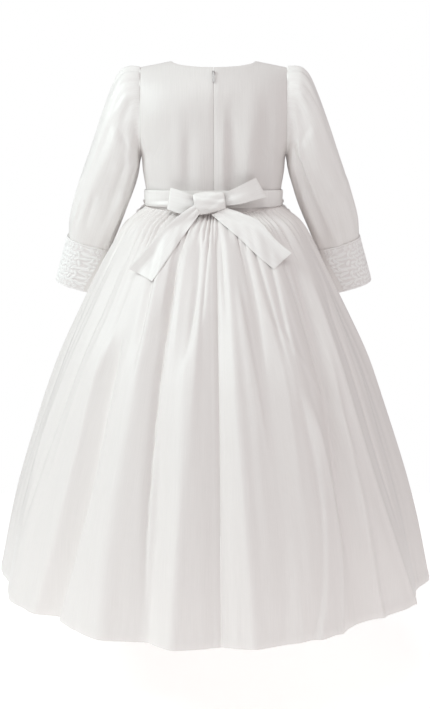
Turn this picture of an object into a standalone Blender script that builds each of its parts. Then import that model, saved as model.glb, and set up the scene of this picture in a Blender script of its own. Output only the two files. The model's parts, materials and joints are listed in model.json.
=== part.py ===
"""A girl's long-sleeved satin occasion dress with a gathered skirt and a sash tied in a bow at the back.

It keeps the hollow shape it has when it is worn, with nobody in it.
Metres, +Z up. The origin is the middle of the shoulder line. The back, with its zip and bow, faces -Y,
the front faces +Y, and +X is the wearer's right. Every cloth piece is a thin wall, cut as a maker would
cut it, and the pieces stand a seam gap apart.
"""

import bmesh
import bpy
from collections import namedtuple
from itertools import product
from math import asin, atan2, cos, degrees, pi, radians, sin, sqrt
from mathutils import Matrix, Vector

MM = 0.001
SEAM_GAP = 0.3 * MM

# Cloth walls
BODICE_WALL = 1.5 * MM
SKIRT_WALL = 2.0 * MM
SLEEVE_WALL = 1.5 * MM
RIBBON_WALL = 1.2 * MM

# Bodice
NECK_HALF_WIDTH = 82 * MM
BACK_NECK_DIP = 15 * MM
FRONT_NECK_DIP = 52 * MM
ARMHOLE_X = 143 * MM
ARMHOLE_BOTTOM = -185 * MM
SHOULDER_DROP = 12 * MM
SHOULDER_ROUNDING = 120 * MM
SQUARENESS = 2.6
WAIST_SIDE = -283 * MM
WAIST_BACK_DIP = 14 * MM
ZIP_SLIT = 0.8 * MM

# Sash and bow
SASH_TOP = -252 * MM
SASH_ABOVE_SEAM = 0.6 * MM
SASH_BACK_DIP = 4.5 * MM
SASH_CLEARANCE = 2.6 * MM

# Skirt
GATHERS = 40
POINTS_PER_GATHER = 4
BACK_SEAM_ANGLE = 2.0
HEM_SIDE_LIFT = 34 * MM
SIDE_SEAM_ANGLE = 90.0

IVORY = (0.86, 0.84, 0.82, 1.0)
LACE_WHITE = (0.90, 0.89, 0.87, 1.0)
ZIP_GREY = (0.62, 0.61, 0.60, 1.0)

TorsoRow = namedtuple("TorsoRow", "z half_width back_depth front_depth")
TORSO = (
    TorsoRow(-0.305, 0.1310, 0.0870, 0.0900),
    TorsoRow(-0.250, 0.1345, 0.0880, 0.0910),
    TorsoRow(-0.215, 0.1400, 0.0900, 0.0930),
    TorsoRow(-0.185, 0.1430, 0.0910, 0.0940),
    TorsoRow(-0.160, 0.1510, 0.0905, 0.0940),
    TorsoRow(-0.120, 0.1590, 0.0890, 0.0930),
    TorsoRow(-0.060, 0.1610, 0.0880, 0.0900),
    TorsoRow(0.010, 0.1610, 0.0880, 0.0900),
)

# The skirt from its waist seam to its hem, at the valleys of its folds.
SkirtRow = namedtuple("SkirtRow", "place z half_width half_depth squareness gather")
SKIRT = (
    SkirtRow(0.000, -0.2830, 0.1318, 0.0886, 2.60, 0.0004),
    SkirtRow(0.005, -0.2865, 0.1340, 0.0910, 2.55, 0.0012),
    SkirtRow(0.022, -0.2945, 0.1440, 0.1030, 2.45, 0.0028),
    SkirtRow(0.050, -0.3120, 0.1640, 0.1260, 2.35, 0.0042),
    SkirtRow(0.100, -0.3460, 0.1860, 0.1500, 2.25, 0.0038),
    SkirtRow(0.180, -0.4050, 0.2170, 0.1820, 2.20, 0.0024),
    SkirtRow(0.300, -0.4950, 0.2590, 0.2250, 2.14, 0.0008),
    SkirtRow(0.450, -0.6110, 0.3070, 0.2790, 2.08, 0.0002),
    SkirtRow(0.620, -0.7510, 0.3510, 0.3280, 2.05, 0.0000),
    SkirtRow(0.800, -0.9010, 0.3910, 0.3700, 2.03, 0.0000),
    SkirtRow(1.000, -1.0640, 0.4220, 0.3970, 2.00, 0.0000),
)

# Crests and creases of the skirt's large folds, in order round it from the back seam's far side. Angles in
# degrees (0 at centre back, 90 at the wearer's right) and heights in millimetres are given high on the skirt,
# at its middle, low down and at the hem. A sharp crease is a V, and a soft one a trough.
Fold = namedtuple(
    "Fold", "turn_top turn_middle turn_low turn_hem rise_top rise_middle rise_low rise_hem sharp"
)
FOLDS = (
    Fold(-172, -171, -171, -172, 4, 11, 18, 20, 0.0),
    Fold(-164, -162, -161, -160, 0, 0, 0, 0, 0.6),
    Fold(-152, -150, -149, -148, 5, 12, 20, 22, 0.0),
    Fold(-141, -141, -142, -141, 0, 1, 1, 2, 0.2),
    Fold(-131, -132, -133, -132, 4, 10, 16, 20, 0.0),
    Fold(-120, -122, -124, -123, 0, 0, 0, 0, 0.8),
    Fold(-109, -111, -112, -111, 5, 14, 20, 24, 0.0),
    Fold(-101, -102, -103, -102, 1, 4, 6, 6, 0.0),
    Fold(-93, -92, -91, -92, 5, 11, 16, 18, 0.0),
    Fold(-86, -82, -78, -77, 0, 0, 0, 0, 0.8),
    Fold(-78, -70, -64, -62, 6, 12, 18, 25, 0.0),
    Fold(-48, -43, -42, -52, 0, 0, 0, 2, 0.9),
    Fold(-31, -29, -29, -27, 8, 16, 24, 31, 0.0),
    Fold(-22, -21, -17, -19, 0, 0, 0, 1, 0.7),
    Fold(-10, -10, -11, -12, 8, 20, 27, 29, 0.0),
    Fold(3, 2, 2, 2, 0, 0, 1, 2, 0.9),
    Fold(10, 7, 7, 9, 6, 18, 23, 24, 0.0),
    Fold(20, 19, 20, 17, 0, 4, 12, 14, 0.3),
    Fold(33, 31, 32, 27, 8, 18, 24, 26, 0.0),
    Fold(50, 43, 39, 42, 0, 0, 0, 0, 0.8),
    Fold(58, 51, 50, 58, 8, 18, 24, 29, 0.0),
    Fold(76, 71, 70, 72, 1, 2, 5, 6, 0.3),
    Fold(87, 82, 80, 80, 6, 12, 17, 20, 0.0),
    Fold(98, 94, 92, 91, 0, 0, 1, 2, 0.7),
    Fold(108, 106, 104, 103, 5, 11, 17, 21, 0.0),
    Fold(117, 116, 115, 114, 0, 1, 2, 3, 0.4),
    Fold(127, 127, 128, 129, 5, 14, 21, 25, 0.0),
    Fold(139, 139, 140, 142, 0, 0, 0, 0, 0.8),
    Fold(150, 151, 152, 153, 4, 11, 17, 20, 0.0),
    Fold(160, 160, 161, 162, 1, 2, 5, 5, 0.2),
    Fold(168, 169, 170, 170, 5, 11, 17, 20, 0.0),
    Fold(178, 178, 178, 177, 0, 0, 0, 0, 0.7),
)
FOLD_STATIONS = (0.10, 0.45, 0.72, 1.00)

# A sleeve from the armhole to its cuff, on the +X side: where its underarm and outer edges lie seen from
# the back, how deep it is, how far forward the arm has swung, and how the section leans forward.
SleeveRow = namedtuple("SleeveRow", "place inner_x inner_z outer_x outer_z half_depth centre_y lean")
SLEEVE = (
    SleeveRow(0.00, 0.1433, -0.1850, 0.1433, -0.0120, 0.0480, 0.000, 0.00),
    SleeveRow(0.06, 0.1440, -0.1880, 0.1560, -0.0085, 0.0500, 0.000, 0.00),
    SleeveRow(0.13, 0.1446, -0.1910, 0.1745, -0.0130, 0.0520, 0.000, 0.00),
    SleeveRow(0.20, 0.1452, -0.1940, 0.1895, -0.0290, 0.0535, 0.001, 0.01),
    SleeveRow(0.28, 0.1460, -0.1985, 0.2065, -0.0660, 0.0545, 0.002, 0.02),
    SleeveRow(0.38, 0.1478, -0.2090, 0.2215, -0.1030, 0.0545, 0.004, 0.04),
    SleeveRow(0.50, 0.1530, -0.2290, 0.2395, -0.1520, 0.0540, 0.010, 0.08),
    SleeveRow(0.64, 0.1640, -0.2620, 0.2605, -0.2090, 0.0525, 0.026, 0.12),
    SleeveRow(0.78, 0.1795, -0.3010, 0.2785, -0.2620, 0.0510, 0.046, 0.15),
    SleeveRow(0.90, 0.1965, -0.3390, 0.2935, -0.3090, 0.0495, 0.069, 0.17),
    SleeveRow(1.00, 0.2110, -0.3710, 0.2990, -0.3460, 0.0475, 0.090, 0.16),
    SleeveRow(1.20, 0.2245, -0.4180, 0.3130, -0.3935, 0.0465, 0.108, 0.15),
    SleeveRow(1.40, 0.2380, -0.4650, 0.3270, -0.4400, 0.0455, 0.125, 0.15),
)
SLEEVE_END = 1.00
CUFF_START = 1.0014
CUFF_END = 1.40

# Small pleats where the sleeve head is eased into the armhole, and long soft creases down the sleeve.
Crease = namedtuple("Crease", "start end turn_start turn_end width height")
SLEEVE_CREASES = (
    Crease(0.01, 0.36, 14, 8, 13, 2.6),
    Crease(0.01, 0.44, 40, 34, 14, 2.4),
    Crease(0.01, 0.30, 66, 64, 13, 1.8),
    Crease(0.01, 0.34, -20, -14, 13, 2.2),
    Crease(0.01, 0.30, -48, -44, 14, 1.8),
    Crease(0.32, 0.92, 92, 60, 26, 4.5),
    Crease(0.62, 1.00, 122, 128, 24, 3.5),
    Crease(0.66, 1.00, 24, 20, 22, 3.0),
    Crease(0.50, 0.98, -110, -80, 28, 4.0),
)

# Lace applique on the cuff
LACE_CLEARANCE = 0.4 * MM
LACE_GROUND = 0.9 * MM
LACE_RELIEF = 1.3 * MM
LACE_TURN_TOP = 120
LACE_TURN_END = 96
LACE_START = 1.0014
LACE_END = 1.400
LACE_LEAVES_ROUND = 9
LACE_LEAF_ROWS = 2


def smoothstep(t):
    t = min(max(t, 0.0), 1.0)
    return t * t * (3 - 2 * t)


def mix(a, b, t):
    return a + (b - a) * t


def read(rows, column, at):
    """A table's named column, read on a smooth curve between its rows. The first column is the place."""
    last = len(rows) - 1
    at = min(max(at, rows[0][0]), rows[last][0])
    low = max(k for k in range(last) if rows[k][0] <= at or k == 0)
    values = [getattr(row, column) for row in rows]

    def slope(k):
        before, after = max(k - 1, 0), min(k + 1, last)
        return (values[after] - values[before]) / (rows[after][0] - rows[before][0])

    span = rows[low + 1][0] - rows[low][0]
    t = (at - rows[low][0]) / span
    return (
        values[low] * (1 + 2 * t) * (1 - t) ** 2
        + values[low + 1] * t * t * (3 - 2 * t)
        + slope(low) * span * t * (1 - t) ** 2
        - slope(low + 1) * span * t * t * (1 - t)
    )


def bump(distance, width):
    """A soft ridge: 1 at its middle, 0 from its width outwards."""
    t = min(abs(distance) / width, 1.0)
    return 0.5 + 0.5 * cos(pi * t)


# Walls of cloth


def kept_inside(point, planes):
    """The point moved back to the allowed side of each plane, given as an outward normal and its distance."""
    for normal, distance in planes:
        over = point.dot(normal) - distance
        if over > 0:
            point = point - normal * over
    return point


def grid_normals(grid, closed, core):
    """Outward unit normals of a grid of points. core gives a point inside the cloth for each row."""
    rows, columns = len(grid), len(grid[0])
    normals = []
    agree = 0.0
    for r in range(rows):
        line = []
        for c in range(columns):
            if closed:
                across = grid[r][(c + 1) % columns] - grid[r][c - 1]
            else:
                across = grid[r][min(c + 1, columns - 1)] - grid[r][max(c - 1, 0)]
            down = grid[min(r + 1, rows - 1)][c] - grid[max(r - 1, 0)][c]
            normal = across.cross(down)
            normal.normalize()
            agree += normal.dot(grid[r][c] - core(r))
            line.append(normal)
        normals.append(line)
    sign = 1.0 if agree > 0 else -1.0
    return [[normal * sign for normal in line] for line in normals]


def wall_mesh(outer, inner, closed):
    """A closed solid between two grids of points that match."""
    mesh = bmesh.new()
    outer_verts = [[mesh.verts.new(p) for p in line] for line in outer]
    inner_verts = [[mesh.verts.new(p) for p in line] for line in inner]
    rows, columns = len(outer), len(outer[0])
    spans = columns if closed else columns - 1
    for verts in (outer_verts, inner_verts):
        for r in range(rows - 1):
            for c in range(spans):
                d = (c + 1) % columns
                mesh.faces.new((verts[r][c], verts[r][d], verts[r + 1][d], verts[r + 1][c]))
    for r in (0, rows - 1):
        for c in range(spans):
            d = (c + 1) % columns
            mesh.faces.new((outer_verts[r][c], outer_verts[r][d], inner_verts[r][d], inner_verts[r][c]))
    if not closed:
        for c in (0, columns - 1):
            for r in range(rows - 1):
                mesh.faces.new(
                    (outer_verts[r][c], outer_verts[r + 1][c], inner_verts[r + 1][c], inner_verts[r][c])
                )
    return mesh


def finish(name, mesh, material, sharp=50):
    """Turns a bmesh into a named object, smooth but for its edges."""
    bmesh.ops.recalc_face_normals(mesh, faces=mesh.faces)
    data = bpy.data.meshes.new(name)
    mesh.to_mesh(data)
    mesh.free()
    data.shade_smooth()
    data.set_sharp_from_angle(angle=radians(sharp))
    data.materials.append(material)
    thing = bpy.data.objects.new(name, data)
    bpy.context.scene.collection.objects.link(thing)
    return thing


def cloth(name, grid, wall, material, core, closed=False, planes=(), level_rows=()):
    """A wall of cloth: a grid of outer points, and the same points moved in by the wall.

    Rows in level_rows are moved in horizontally, so that a seam with the piece above or below stays level.
    """
    normals = grid_normals(grid, closed, core)
    inner = []
    for r, line in enumerate(grid):
        moved = []
        for c, point in enumerate(line):
            normal = normals[r][c]
            if r in [row % len(grid) for row in level_rows]:
                normal = Vector((normal.x, normal.y, 0.0)).normalized()
            moved.append(kept_inside(point - normal * wall, planes))
        inner.append(moved)
    outer = [[kept_inside(point, planes) for point in line] for line in grid]
    return finish(name, wall_mesh(outer, inner, closed), material)


def satin(name, colour, roughness=0.38, metallic=0.0):
    made = bpy.data.materials.new(name)
    made.use_nodes = True
    shader = made.node_tree.nodes["Principled BSDF"]
    shader.inputs["Base Color"].default_value = colour
    shader.inputs["Roughness"].default_value = roughness
    shader.inputs["Metallic"].default_value = metallic
    return made


# Bodice


def shoulder_z(x):
    """Height of the shoulder seam, level with the origin at the neck and sloping down to the armhole."""
    return -SHOULDER_DROP * (abs(x) - NECK_HALF_WIDTH) / (ARMHOLE_X - NECK_HALF_WIDTH)


def drape(x, z):
    """Soft vertical folds where the loose back hangs to the waist, deeper on the wearer's right."""
    low = smoothstep((-0.105 - z) / 0.12)
    if x >= 0:
        return 2.2 * MM * low * sin(2 * pi * (x - 6 * MM) / (50 * MM)) * smoothstep(x / (12 * MM))
    return 1.1 * MM * low * sin(2 * pi * (-x - 12 * MM) / (64 * MM)) * smoothstep(-x / (12 * MM))


def torso_depth(x, z, front):
    """How far the worn bodice stands from the plane of the side seams."""
    half_width = read(TORSO, "half_width", z)
    deep = read(TORSO, "front_depth" if front else "back_depth", z)
    across = max(0.0, 1 - (abs(x) / half_width) ** SQUARENESS) ** (1 / SQUARENESS)
    below = min(max((shoulder_z(x) - z) / SHOULDER_ROUNDING, 0.0), 1.0)
    depth = deep * across * sqrt(1 - (1 - below) ** 2)
    if not front:
        depth += drape(x, z) * smoothstep(across / 0.7)
    return max(depth, 0.0)


def waist_z(turn):
    """Height of the waist seam at a turn round the body, in degrees: it dips at the back."""
    return WAIST_SIDE - WAIST_BACK_DIP * max(0.0, cos(radians(turn))) ** 1.5


def edge_turn(z):
    """The turn from centre to armhole or side seam, as an angle on the section."""
    share = min(1.0, ARMHOLE_X / read(TORSO, "half_width", z))
    return asin(share ** (SQUARENESS / 2))


def bodice_x(across, z):
    """Where a line that lies a share of the way from centre to edge passes, at a height."""
    half_width = read(TORSO, "half_width", z)
    reach = half_width * sin(abs(across) * edge_turn(z)) ** (2 / SQUARENESS)
    return reach if across >= 0 else -reach


def bodice_top(x, front):
    """Height of the neckline, or of the shoulder seam beyond it."""
    if abs(x) < NECK_HALF_WIDTH:
        dip = FRONT_NECK_DIP if front else BACK_NECK_DIP
        return -dip * sqrt(1 - (x / NECK_HALF_WIDTH) ** 2)
    return shoulder_z(x)


def bodice_point(across, up, front):
    top = bodice_top(bodice_x(across, 0.0), front)
    waist_x = bodice_x(across, WAIST_SIDE)
    waist_y = torso_depth(waist_x, WAIST_SIDE, front) * (1 if front else -1)
    bottom = waist_z(degrees(atan2(waist_x, -waist_y))) + SEAM_GAP / 2
    z = mix(bottom, top, 1 - (1 - up) ** 1.5)
    x = bodice_x(across, z)
    return Vector((x, torso_depth(x, z, front) * (1 if front else -1), z))


def bodice_shares():
    """Columns from centre to armhole, one of them at the neck point."""
    turn = asin((NECK_HALF_WIDTH / read(TORSO, "half_width", 0.0)) ** (SQUARENESS / 2))
    neck = turn / edge_turn(0.0)
    inside = [neck * k / 4 for k in range(4)]
    outside = [mix(neck, 1.0, k / 5) for k in range(6)]
    return inside + outside


BODICE_ROWS = 11


def bodice_panel(name, shares, front, material, planes):
    grid = [
        [bodice_point(share, 1 - r / BODICE_ROWS, front) for share in shares]
        for r in range(BODICE_ROWS + 1)
    ]

    def core(r):
        return Vector((0.0, 0.0, grid[r][0].z - 0.02))

    return cloth(name, grid, BODICE_WALL, material, core, planes=planes, level_rows=(-1,))


def make_bodice(material):
    shares = bodice_shares()
    half = SEAM_GAP / 2
    armholes = [(Vector((1, 0, 0)), ARMHOLE_X), (Vector((-1, 0, 0)), ARMHOLE_X)]
    behind, before = (Vector((0, 1, 0)), -half), (Vector((0, -1, 0)), -half)
    left_edge = (Vector((1, 0, 0)), -ZIP_SLIT / 2)
    right_edge = (Vector((-1, 0, 0)), -ZIP_SLIT / 2)
    across = [-share for share in reversed(shares)] + shares[1:]
    bodice_panel("bodice_front", across, True, material, [before, *armholes])
    left = [-share for share in reversed(shares)]
    bodice_panel("bodice_back_left", left, False, material, [behind, left_edge, *armholes])
    bodice_panel("bodice_back_right", shares, False, material, [behind, right_edge, *armholes])


# Skirt


def fold_stations(fold, what):
    return [getattr(fold, f"{what}_{part}") for part in ("top", "middle", "low", "hem")]


def station_value(values, place):
    """A fold's angle or height at a place down the skirt, read smoothly between its four stations."""
    if place <= FOLD_STATIONS[0]:
        return values[0]
    low = max(k for k in range(3) if FOLD_STATIONS[k] <= place)
    t = (place - FOLD_STATIONS[low]) / (FOLD_STATIONS[low + 1] - FOLD_STATIONS[low])
    return mix(values[low], values[low + 1], smoothstep(t) * 0.5 + t * 0.5)


def fold_rise(turn, place):
    """How far the large folds stand out from the valleys at a turn round the skirt, in metres."""
    turns = [station_value(fold_stations(fold, "turn"), place) for fold in FOLDS]
    rises = [station_value(fold_stations(fold, "rise"), place) for fold in FOLDS]
    turns.append(turns[0] + 360)
    rises.append(rises[0])
    turn = (turn - turns[0]) % 360 + turns[0]
    k = max(i for i in range(len(FOLDS)) if turns[i] <= turn)
    t = (turn - turns[k]) / (turns[k + 1] - turns[k])
    here, there = FOLDS[k].sharp, FOLDS[(k + 1) % len(FOLDS)].sharp
    soft = smoothstep(t)
    leaving = mix(soft, sin(pi * t / 2), here)
    arriving = mix(soft, 1 - cos(pi * t / 2), there)
    rise = mix(rises[k], rises[k + 1], mix(leaving, arriving, 1.0 if there > here else 0.0))
    return rise * MM * smoothstep(place / FOLD_STATIONS[0])


def gather_strength(index):
    """Each gather's own height and length, uneven but the same every time."""
    return 0.72 + 0.28 * sin(2.4 * index + 0.6) * cos(1.1 * index)


def gather_rise(turn, place):
    """The small gathers that spread from the waist seam, each as long as it is strong."""
    count = GATHERS * (turn % 360) / 360
    index = round(count) % GATHERS
    strength = gather_strength(index)
    height = read(SKIRT, "gather", min(place / (0.55 + 0.75 * strength), 1.0))
    return height * strength * (1 + cos(2 * pi * count))


def skirt_point(turn, place, lift=0.0):
    """A point of the skirt: turn in degrees from centre back, place 0 at the waist seam and 1 at the hem."""
    angle = radians(turn)
    half_width = read(SKIRT, "half_width", place)
    half_depth = read(SKIRT, "half_depth", place)
    power = read(SKIRT, "squareness", place)
    section = (abs(sin(angle)) / half_width) ** power + (abs(cos(angle)) / half_depth) ** power
    radius = section ** (-1 / power)
    radius += fold_rise(turn, place) + gather_rise(turn, place) + lift
    dip = (waist_z(turn) - WAIST_SIDE) * (1 - smoothstep(place / 0.3))
    lifted = HEM_SIDE_LIFT * sin(angle) ** 2 * place ** 2
    z = read(SKIRT, "z", place) + dip + lifted - (0.8 * SEAM_GAP if place == 0 else 0)
    return Vector((radius * sin(angle), -radius * cos(angle), z))


def seam_plane(turn, after):
    """The plane of a lengthwise seam, and the side of it that the panel after or before the seam keeps to."""
    angle = radians(turn)
    onward = Vector((cos(angle), sin(angle), 0.0))
    return (-onward, -SEAM_GAP / 2) if after else (onward, -SEAM_GAP / 2)


def skirt_turns(start, end):
    """Every point round the skirt from one seam to the next, the seams among them."""
    step = 360 / (GATHERS * POINTS_PER_GATHER)
    whole = [k * step for k in range(int(start // step) + 1, int(end / step) + 2)]
    between = [turn for turn in whole if start + 0.4 * step < turn < end - 0.4 * step]
    return [start] + between + [end]


def skirt_panel(name, start, end, material):
    turns = skirt_turns(start, end)
    grid = [[skirt_point(turn, row.place) for turn in turns] for row in SKIRT]

    def core(r):
        return Vector((0.0, 0.0, grid[r][0].z - 0.1))

    planes = [seam_plane(start, True), seam_plane(end, False)]
    return cloth(name, grid, SKIRT_WALL, material, core, planes=planes, level_rows=(0, -1))


def make_skirt(material):
    skirt_panel("skirt_back_left", -SIDE_SEAM_ANGLE, BACK_SEAM_ANGLE, material)
    skirt_panel("skirt_back_right", BACK_SEAM_ANGLE, SIDE_SEAM_ANGLE, material)
    skirt_panel("skirt_front", SIDE_SEAM_ANGLE, 360 - SIDE_SEAM_ANGLE, material)


# Sleeves and cuffs


def armhole_point(turn):
    """A point of the flat armhole oval: 0 degrees at the shoulder, 90 at the back."""
    angle = radians(turn)
    top = shoulder_z(ARMHOLE_X)
    z = mix(ARMHOLE_BOTTOM, top, 0.5 + 0.5 * cos(angle))
    deep = torso_depth(ARMHOLE_X, z, sin(angle) < 0)
    return Vector((ARMHOLE_X + SEAM_GAP, -deep if sin(angle) >= 0 else deep, z))


def sleeve_section(turn, place):
    c, s = cos(radians(turn)), sin(radians(turn))
    inner_x, outer_x = read(SLEEVE, "inner_x", place), read(SLEEVE, "outer_x", place)
    inner_z, outer_z = read(SLEEVE, "inner_z", place), read(SLEEVE, "outer_z", place)
    away = -read(SLEEVE, "half_depth", place) * s
    z = mix(inner_z, outer_z, 0.5 + 0.5 * c) + read(SLEEVE, "lean", place) * away
    return Vector((mix(inner_x, outer_x, 0.5 + 0.5 * c), read(SLEEVE, "centre_y", place) + away, z))


def sleeve_core(place):
    return (sleeve_section(0, place) + sleeve_section(180, place)) / 2


def crease_rise(turn, place):
    rise = 0.0
    for crease in SLEEVE_CREASES:
        t = (place - crease.start) / (crease.end - crease.start)
        if 0 < t < 1:
            middle = mix(crease.turn_start, crease.turn_end, t)
            distance = (turn - middle + 180) % 360 - 180
            fade = smoothstep(t / 0.15) * smoothstep((1 - t) / 0.5)
            rise += crease.height * MM * bump(distance, crease.width) * fade
    return rise


def sleeve_point(turn, place, lift=0.0):
    """A point of the +X sleeve or cuff: turn 0 at its outer side, 90 at the back, 180 at the underarm."""
    at_armhole = 1 - smoothstep(place / 0.13)
    point = sleeve_section(turn, place)
    if at_armhole > 0:
        point = point.lerp(armhole_point(turn), at_armhole)
    outward = point - sleeve_core(place)
    outward.normalize()
    rise = crease_rise(turn, place) if place <= SLEEVE_END else 0.0
    return point + outward * (rise + lift)


def mirrored(grid, side):
    return [[Vector((side * p.x, p.y, p.z)) for p in line] for line in grid]


SLEEVE_COLUMNS = 24
SLEEVE_PLACES = (0.0, 0.045, 0.10, 0.17, 0.26, 0.38, 0.52, 0.68, 0.84, 1.0)
CUFF_PLACES = (CUFF_START, 1.136, 1.268, CUFF_END)
CUFF_FULLNESS = 1.0 * MM


def tube(name, places, lift, side, material):
    turns = [360 * k / SLEEVE_COLUMNS for k in range(SLEEVE_COLUMNS)]
    grid = mirrored([[sleeve_point(turn, place, lift) for turn in turns] for place in places], side)

    def core(r):
        centre = sleeve_core(places[r])
        return Vector((side * centre.x, centre.y, centre.z))

    armhole = (Vector((-side, 0, 0)), -(ARMHOLE_X + SEAM_GAP))
    return cloth(name, grid, SLEEVE_WALL, material, core, closed=True, planes=[armhole])


def leaf_relief(round_share, down_share):
    """The lace's slanting leaves, from 0 on the ground net to 1 on a leaf's rib."""
    row = min(int(down_share * LACE_LEAF_ROWS), LACE_LEAF_ROWS - 1)
    local = down_share * LACE_LEAF_ROWS - row
    slant = 0.9 * (local - 0.5) * (1 if row % 2 == 0 else -1)
    phase = (round_share * LACE_LEAVES_ROUND + slant + 0.5 * row) % 1.0
    body = bump(phase - 0.5, 0.42) * smoothstep(sin(pi * local) * 1.6)
    border = max(bump(down_share - 0.02, 0.06), bump(down_share - 0.98, 0.05))
    return min(1.0, max(body, 0.8 * border))


LACE_COLUMNS = 37
LACE_ROWS = 7


def lace_turn(across, place):
    """The turn of a line across the lace, whose ends slant towards the hem of the cuff."""
    share = (place - LACE_START) / (LACE_END - LACE_START)
    return mix(-1, 1, across) * mix(LACE_TURN_TOP, LACE_TURN_END, smoothstep(share))


def cuff_point(turn, place, lift):
    """A point over the cuff's own facets, which are straight between its rows."""
    below = next(k for k in range(1, len(CUFF_PLACES)) if place <= CUFF_PLACES[k] + 1e-9)
    start, end = CUFF_PLACES[below - 1], CUFF_PLACES[below]
    high = sleeve_point(turn, start, lift)
    low = sleeve_point(turn, end, lift)
    return high.lerp(low, (place - start) / (end - start))


def make_lace(side, name, material):
    """An applique that wraps the outer side of the cuff: leaves raised on its outside, and a plain inside."""
    floor = CUFF_FULLNESS + LACE_CLEARANCE
    outer, inner = [], []
    for r in range(LACE_ROWS):
        down = r / (LACE_ROWS - 1)
        place = mix(LACE_START, LACE_END, down)
        outer_line, inner_line = [], []
        for c in range(LACE_COLUMNS):
            across = c / (LACE_COLUMNS - 1)
            turn = lace_turn(across, place)
            relief = LACE_RELIEF * leaf_relief(across, down)
            outer_line.append(cuff_point(turn, place, floor + LACE_GROUND + relief))
            inner_line.append(cuff_point(turn, place, floor))
        outer.append(outer_line)
        inner.append(inner_line)
    mesh = wall_mesh(mirrored(outer, side), mirrored(inner, side), False)
    return finish(name, mesh, material)


def make_sleeves(material, lace):
    for side, word in ((-1, "left"), (1, "right")):
        tube(f"sleeve_{word}", SLEEVE_PLACES, 0.0, side, material)
        tube(f"cuff_{word}", CUFF_PLACES, CUFF_FULLNESS, side, material)
        make_lace(side, f"cuff_lace_{word}", lace)


# Sash and bow


def worn_surface(turn, z, lift):
    """A point that stands lift outside the bodice near the waist, at a turn from centre back."""
    angle = radians(turn)
    half_width = read(TORSO, "half_width", z)
    deep = read(TORSO, "back_depth" if cos(angle) > 0 else "front_depth", z)
    section = (abs(sin(angle)) / half_width) ** SQUARENESS + (abs(cos(angle)) / deep) ** SQUARENESS
    radius = section ** (-1 / SQUARENESS) + lift
    return Vector((radius * sin(angle), -radius * cos(angle), z))


SASH_COLUMNS = 44
SASH_ROWS = 5


def sash_foot(turn):
    """Height of the sash's lower edge, which lies nearly level while the seam under it dips."""
    return WAIST_SIDE + SASH_ABOVE_SEAM - SASH_BACK_DIP * max(0.0, cos(radians(turn))) ** 1.5


def sash_crease(turn, up):
    """Long shallow creases where the sash is pulled towards its knot."""
    near_knot = bump(turn if turn < 180 else turn - 360, 100)
    return (0.5 + 0.9 * near_knot) * MM * (0.5 + 0.5 * cos(2 * pi * (up + turn / 180)))


def sash_point(turn, up):
    z = mix(sash_foot(turn), SASH_TOP, up)
    return worn_surface(turn, z, SASH_CLEARANCE + RIBBON_WALL + sash_crease(turn, up))


def sash_depth(x, z):
    """How far back the sash's outside lies at a point seen from the back."""
    depth = read(TORSO, "back_depth", z)
    up = (z - sash_foot(0)) / (SASH_TOP - sash_foot(0))
    for _ in range(4):
        depth = -sash_point(degrees(atan2(x, depth)), min(max(up, 0.0), 1.0)).y
    return depth


def make_sash(material):
    turns = [360 * k / SASH_COLUMNS for k in range(SASH_COLUMNS)]
    grid = [[sash_point(turn, r / (SASH_ROWS - 1)) for turn in turns] for r in range(SASH_ROWS)]

    def core(r):
        return Vector((0.0, 0.0, grid[r][0].z))

    return cloth("sash", grid, RIBBON_WALL, material, core, closed=True)


# Each bow piece is drawn as the two edges of its ribbon, seen from the back: x and z in metres.
EdgeRow = namedtuple("EdgeRow", "place left_x left_z right_x right_z out")
TAIL_LEFT = (
    EdgeRow(0.00, -0.0375, -0.2790, -0.0255, -0.2935, 0.1160),
    EdgeRow(0.20, -0.0621, -0.2956, -0.0430, -0.3184, 0.1290),
    EdgeRow(0.45, -0.0920, -0.3220, -0.0674, -0.3514, 0.1500),
    EdgeRow(0.75, -0.1329, -0.3670, -0.0953, -0.3915, 0.1650),
    EdgeRow(1.00, -0.1619, -0.3982, -0.1161, -0.4200, 0.1720),
)
TAIL_RIGHT = (
    EdgeRow(0.00, -0.0040, -0.2980, 0.0262, -0.2850, 0.1080),
    EdgeRow(0.22, 0.0201, -0.3168, 0.0508, -0.2929, 0.1230),
    EdgeRow(0.50, 0.0516, -0.3433, 0.0884, -0.3101, 0.1400),
    EdgeRow(0.76, 0.0804, -0.3705, 0.1200, -0.3450, 0.1550),
    EdgeRow(1.00, 0.1148, -0.3990, 0.1493, -0.3688, 0.1640),
)
LOOP_LEFT = (
    EdgeRow(0.00, -0.0403, -0.2600, -0.0359, -0.2915, 0.1010),
    EdgeRow(0.30, -0.0520, -0.2560, -0.0530, -0.2949, 0.0985),
    EdgeRow(0.65, -0.0665, -0.2508, -0.0686, -0.2950, 0.0940),
    EdgeRow(1.00, -0.0831, -0.2464, -0.0900, -0.2875, 0.0880),
)
LOOP_RIGHT = (
    EdgeRow(0.00, 0.0205, -0.2560, 0.0241, -0.2805, 0.1010),
    EdgeRow(0.30, 0.0414, -0.2469, 0.0491, -0.2775, 0.1010),
    EdgeRow(0.65, 0.0626, -0.2364, 0.0762, -0.2709, 0.0970),
    EdgeRow(1.00, 0.0820, -0.2269, 0.1026, -0.2636, 0.0890),
)
TAIL_ROWS = 11
TAIL_COLUMNS = 6
LOOP_ROWS = 16
LOOP_COLUMNS = 6
LOOP_FULLNESS = 9 * MM
LOOP_PINCH = 1.2 * MM
TAIL_CLEARANCE = 2 * MM
CREST_ABOVE_SKIRT = 9 * MM


def ribbon_edge(rows, across, place):
    """A point of a ribbon seen from the back, as x, z and how far out its own table puts it."""
    x = mix(read(rows, "left_x", place), read(rows, "right_x", place), across)
    z = mix(read(rows, "left_z", place), read(rows, "right_z", place), across)
    return x, z, read(rows, "out", place)


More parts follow.
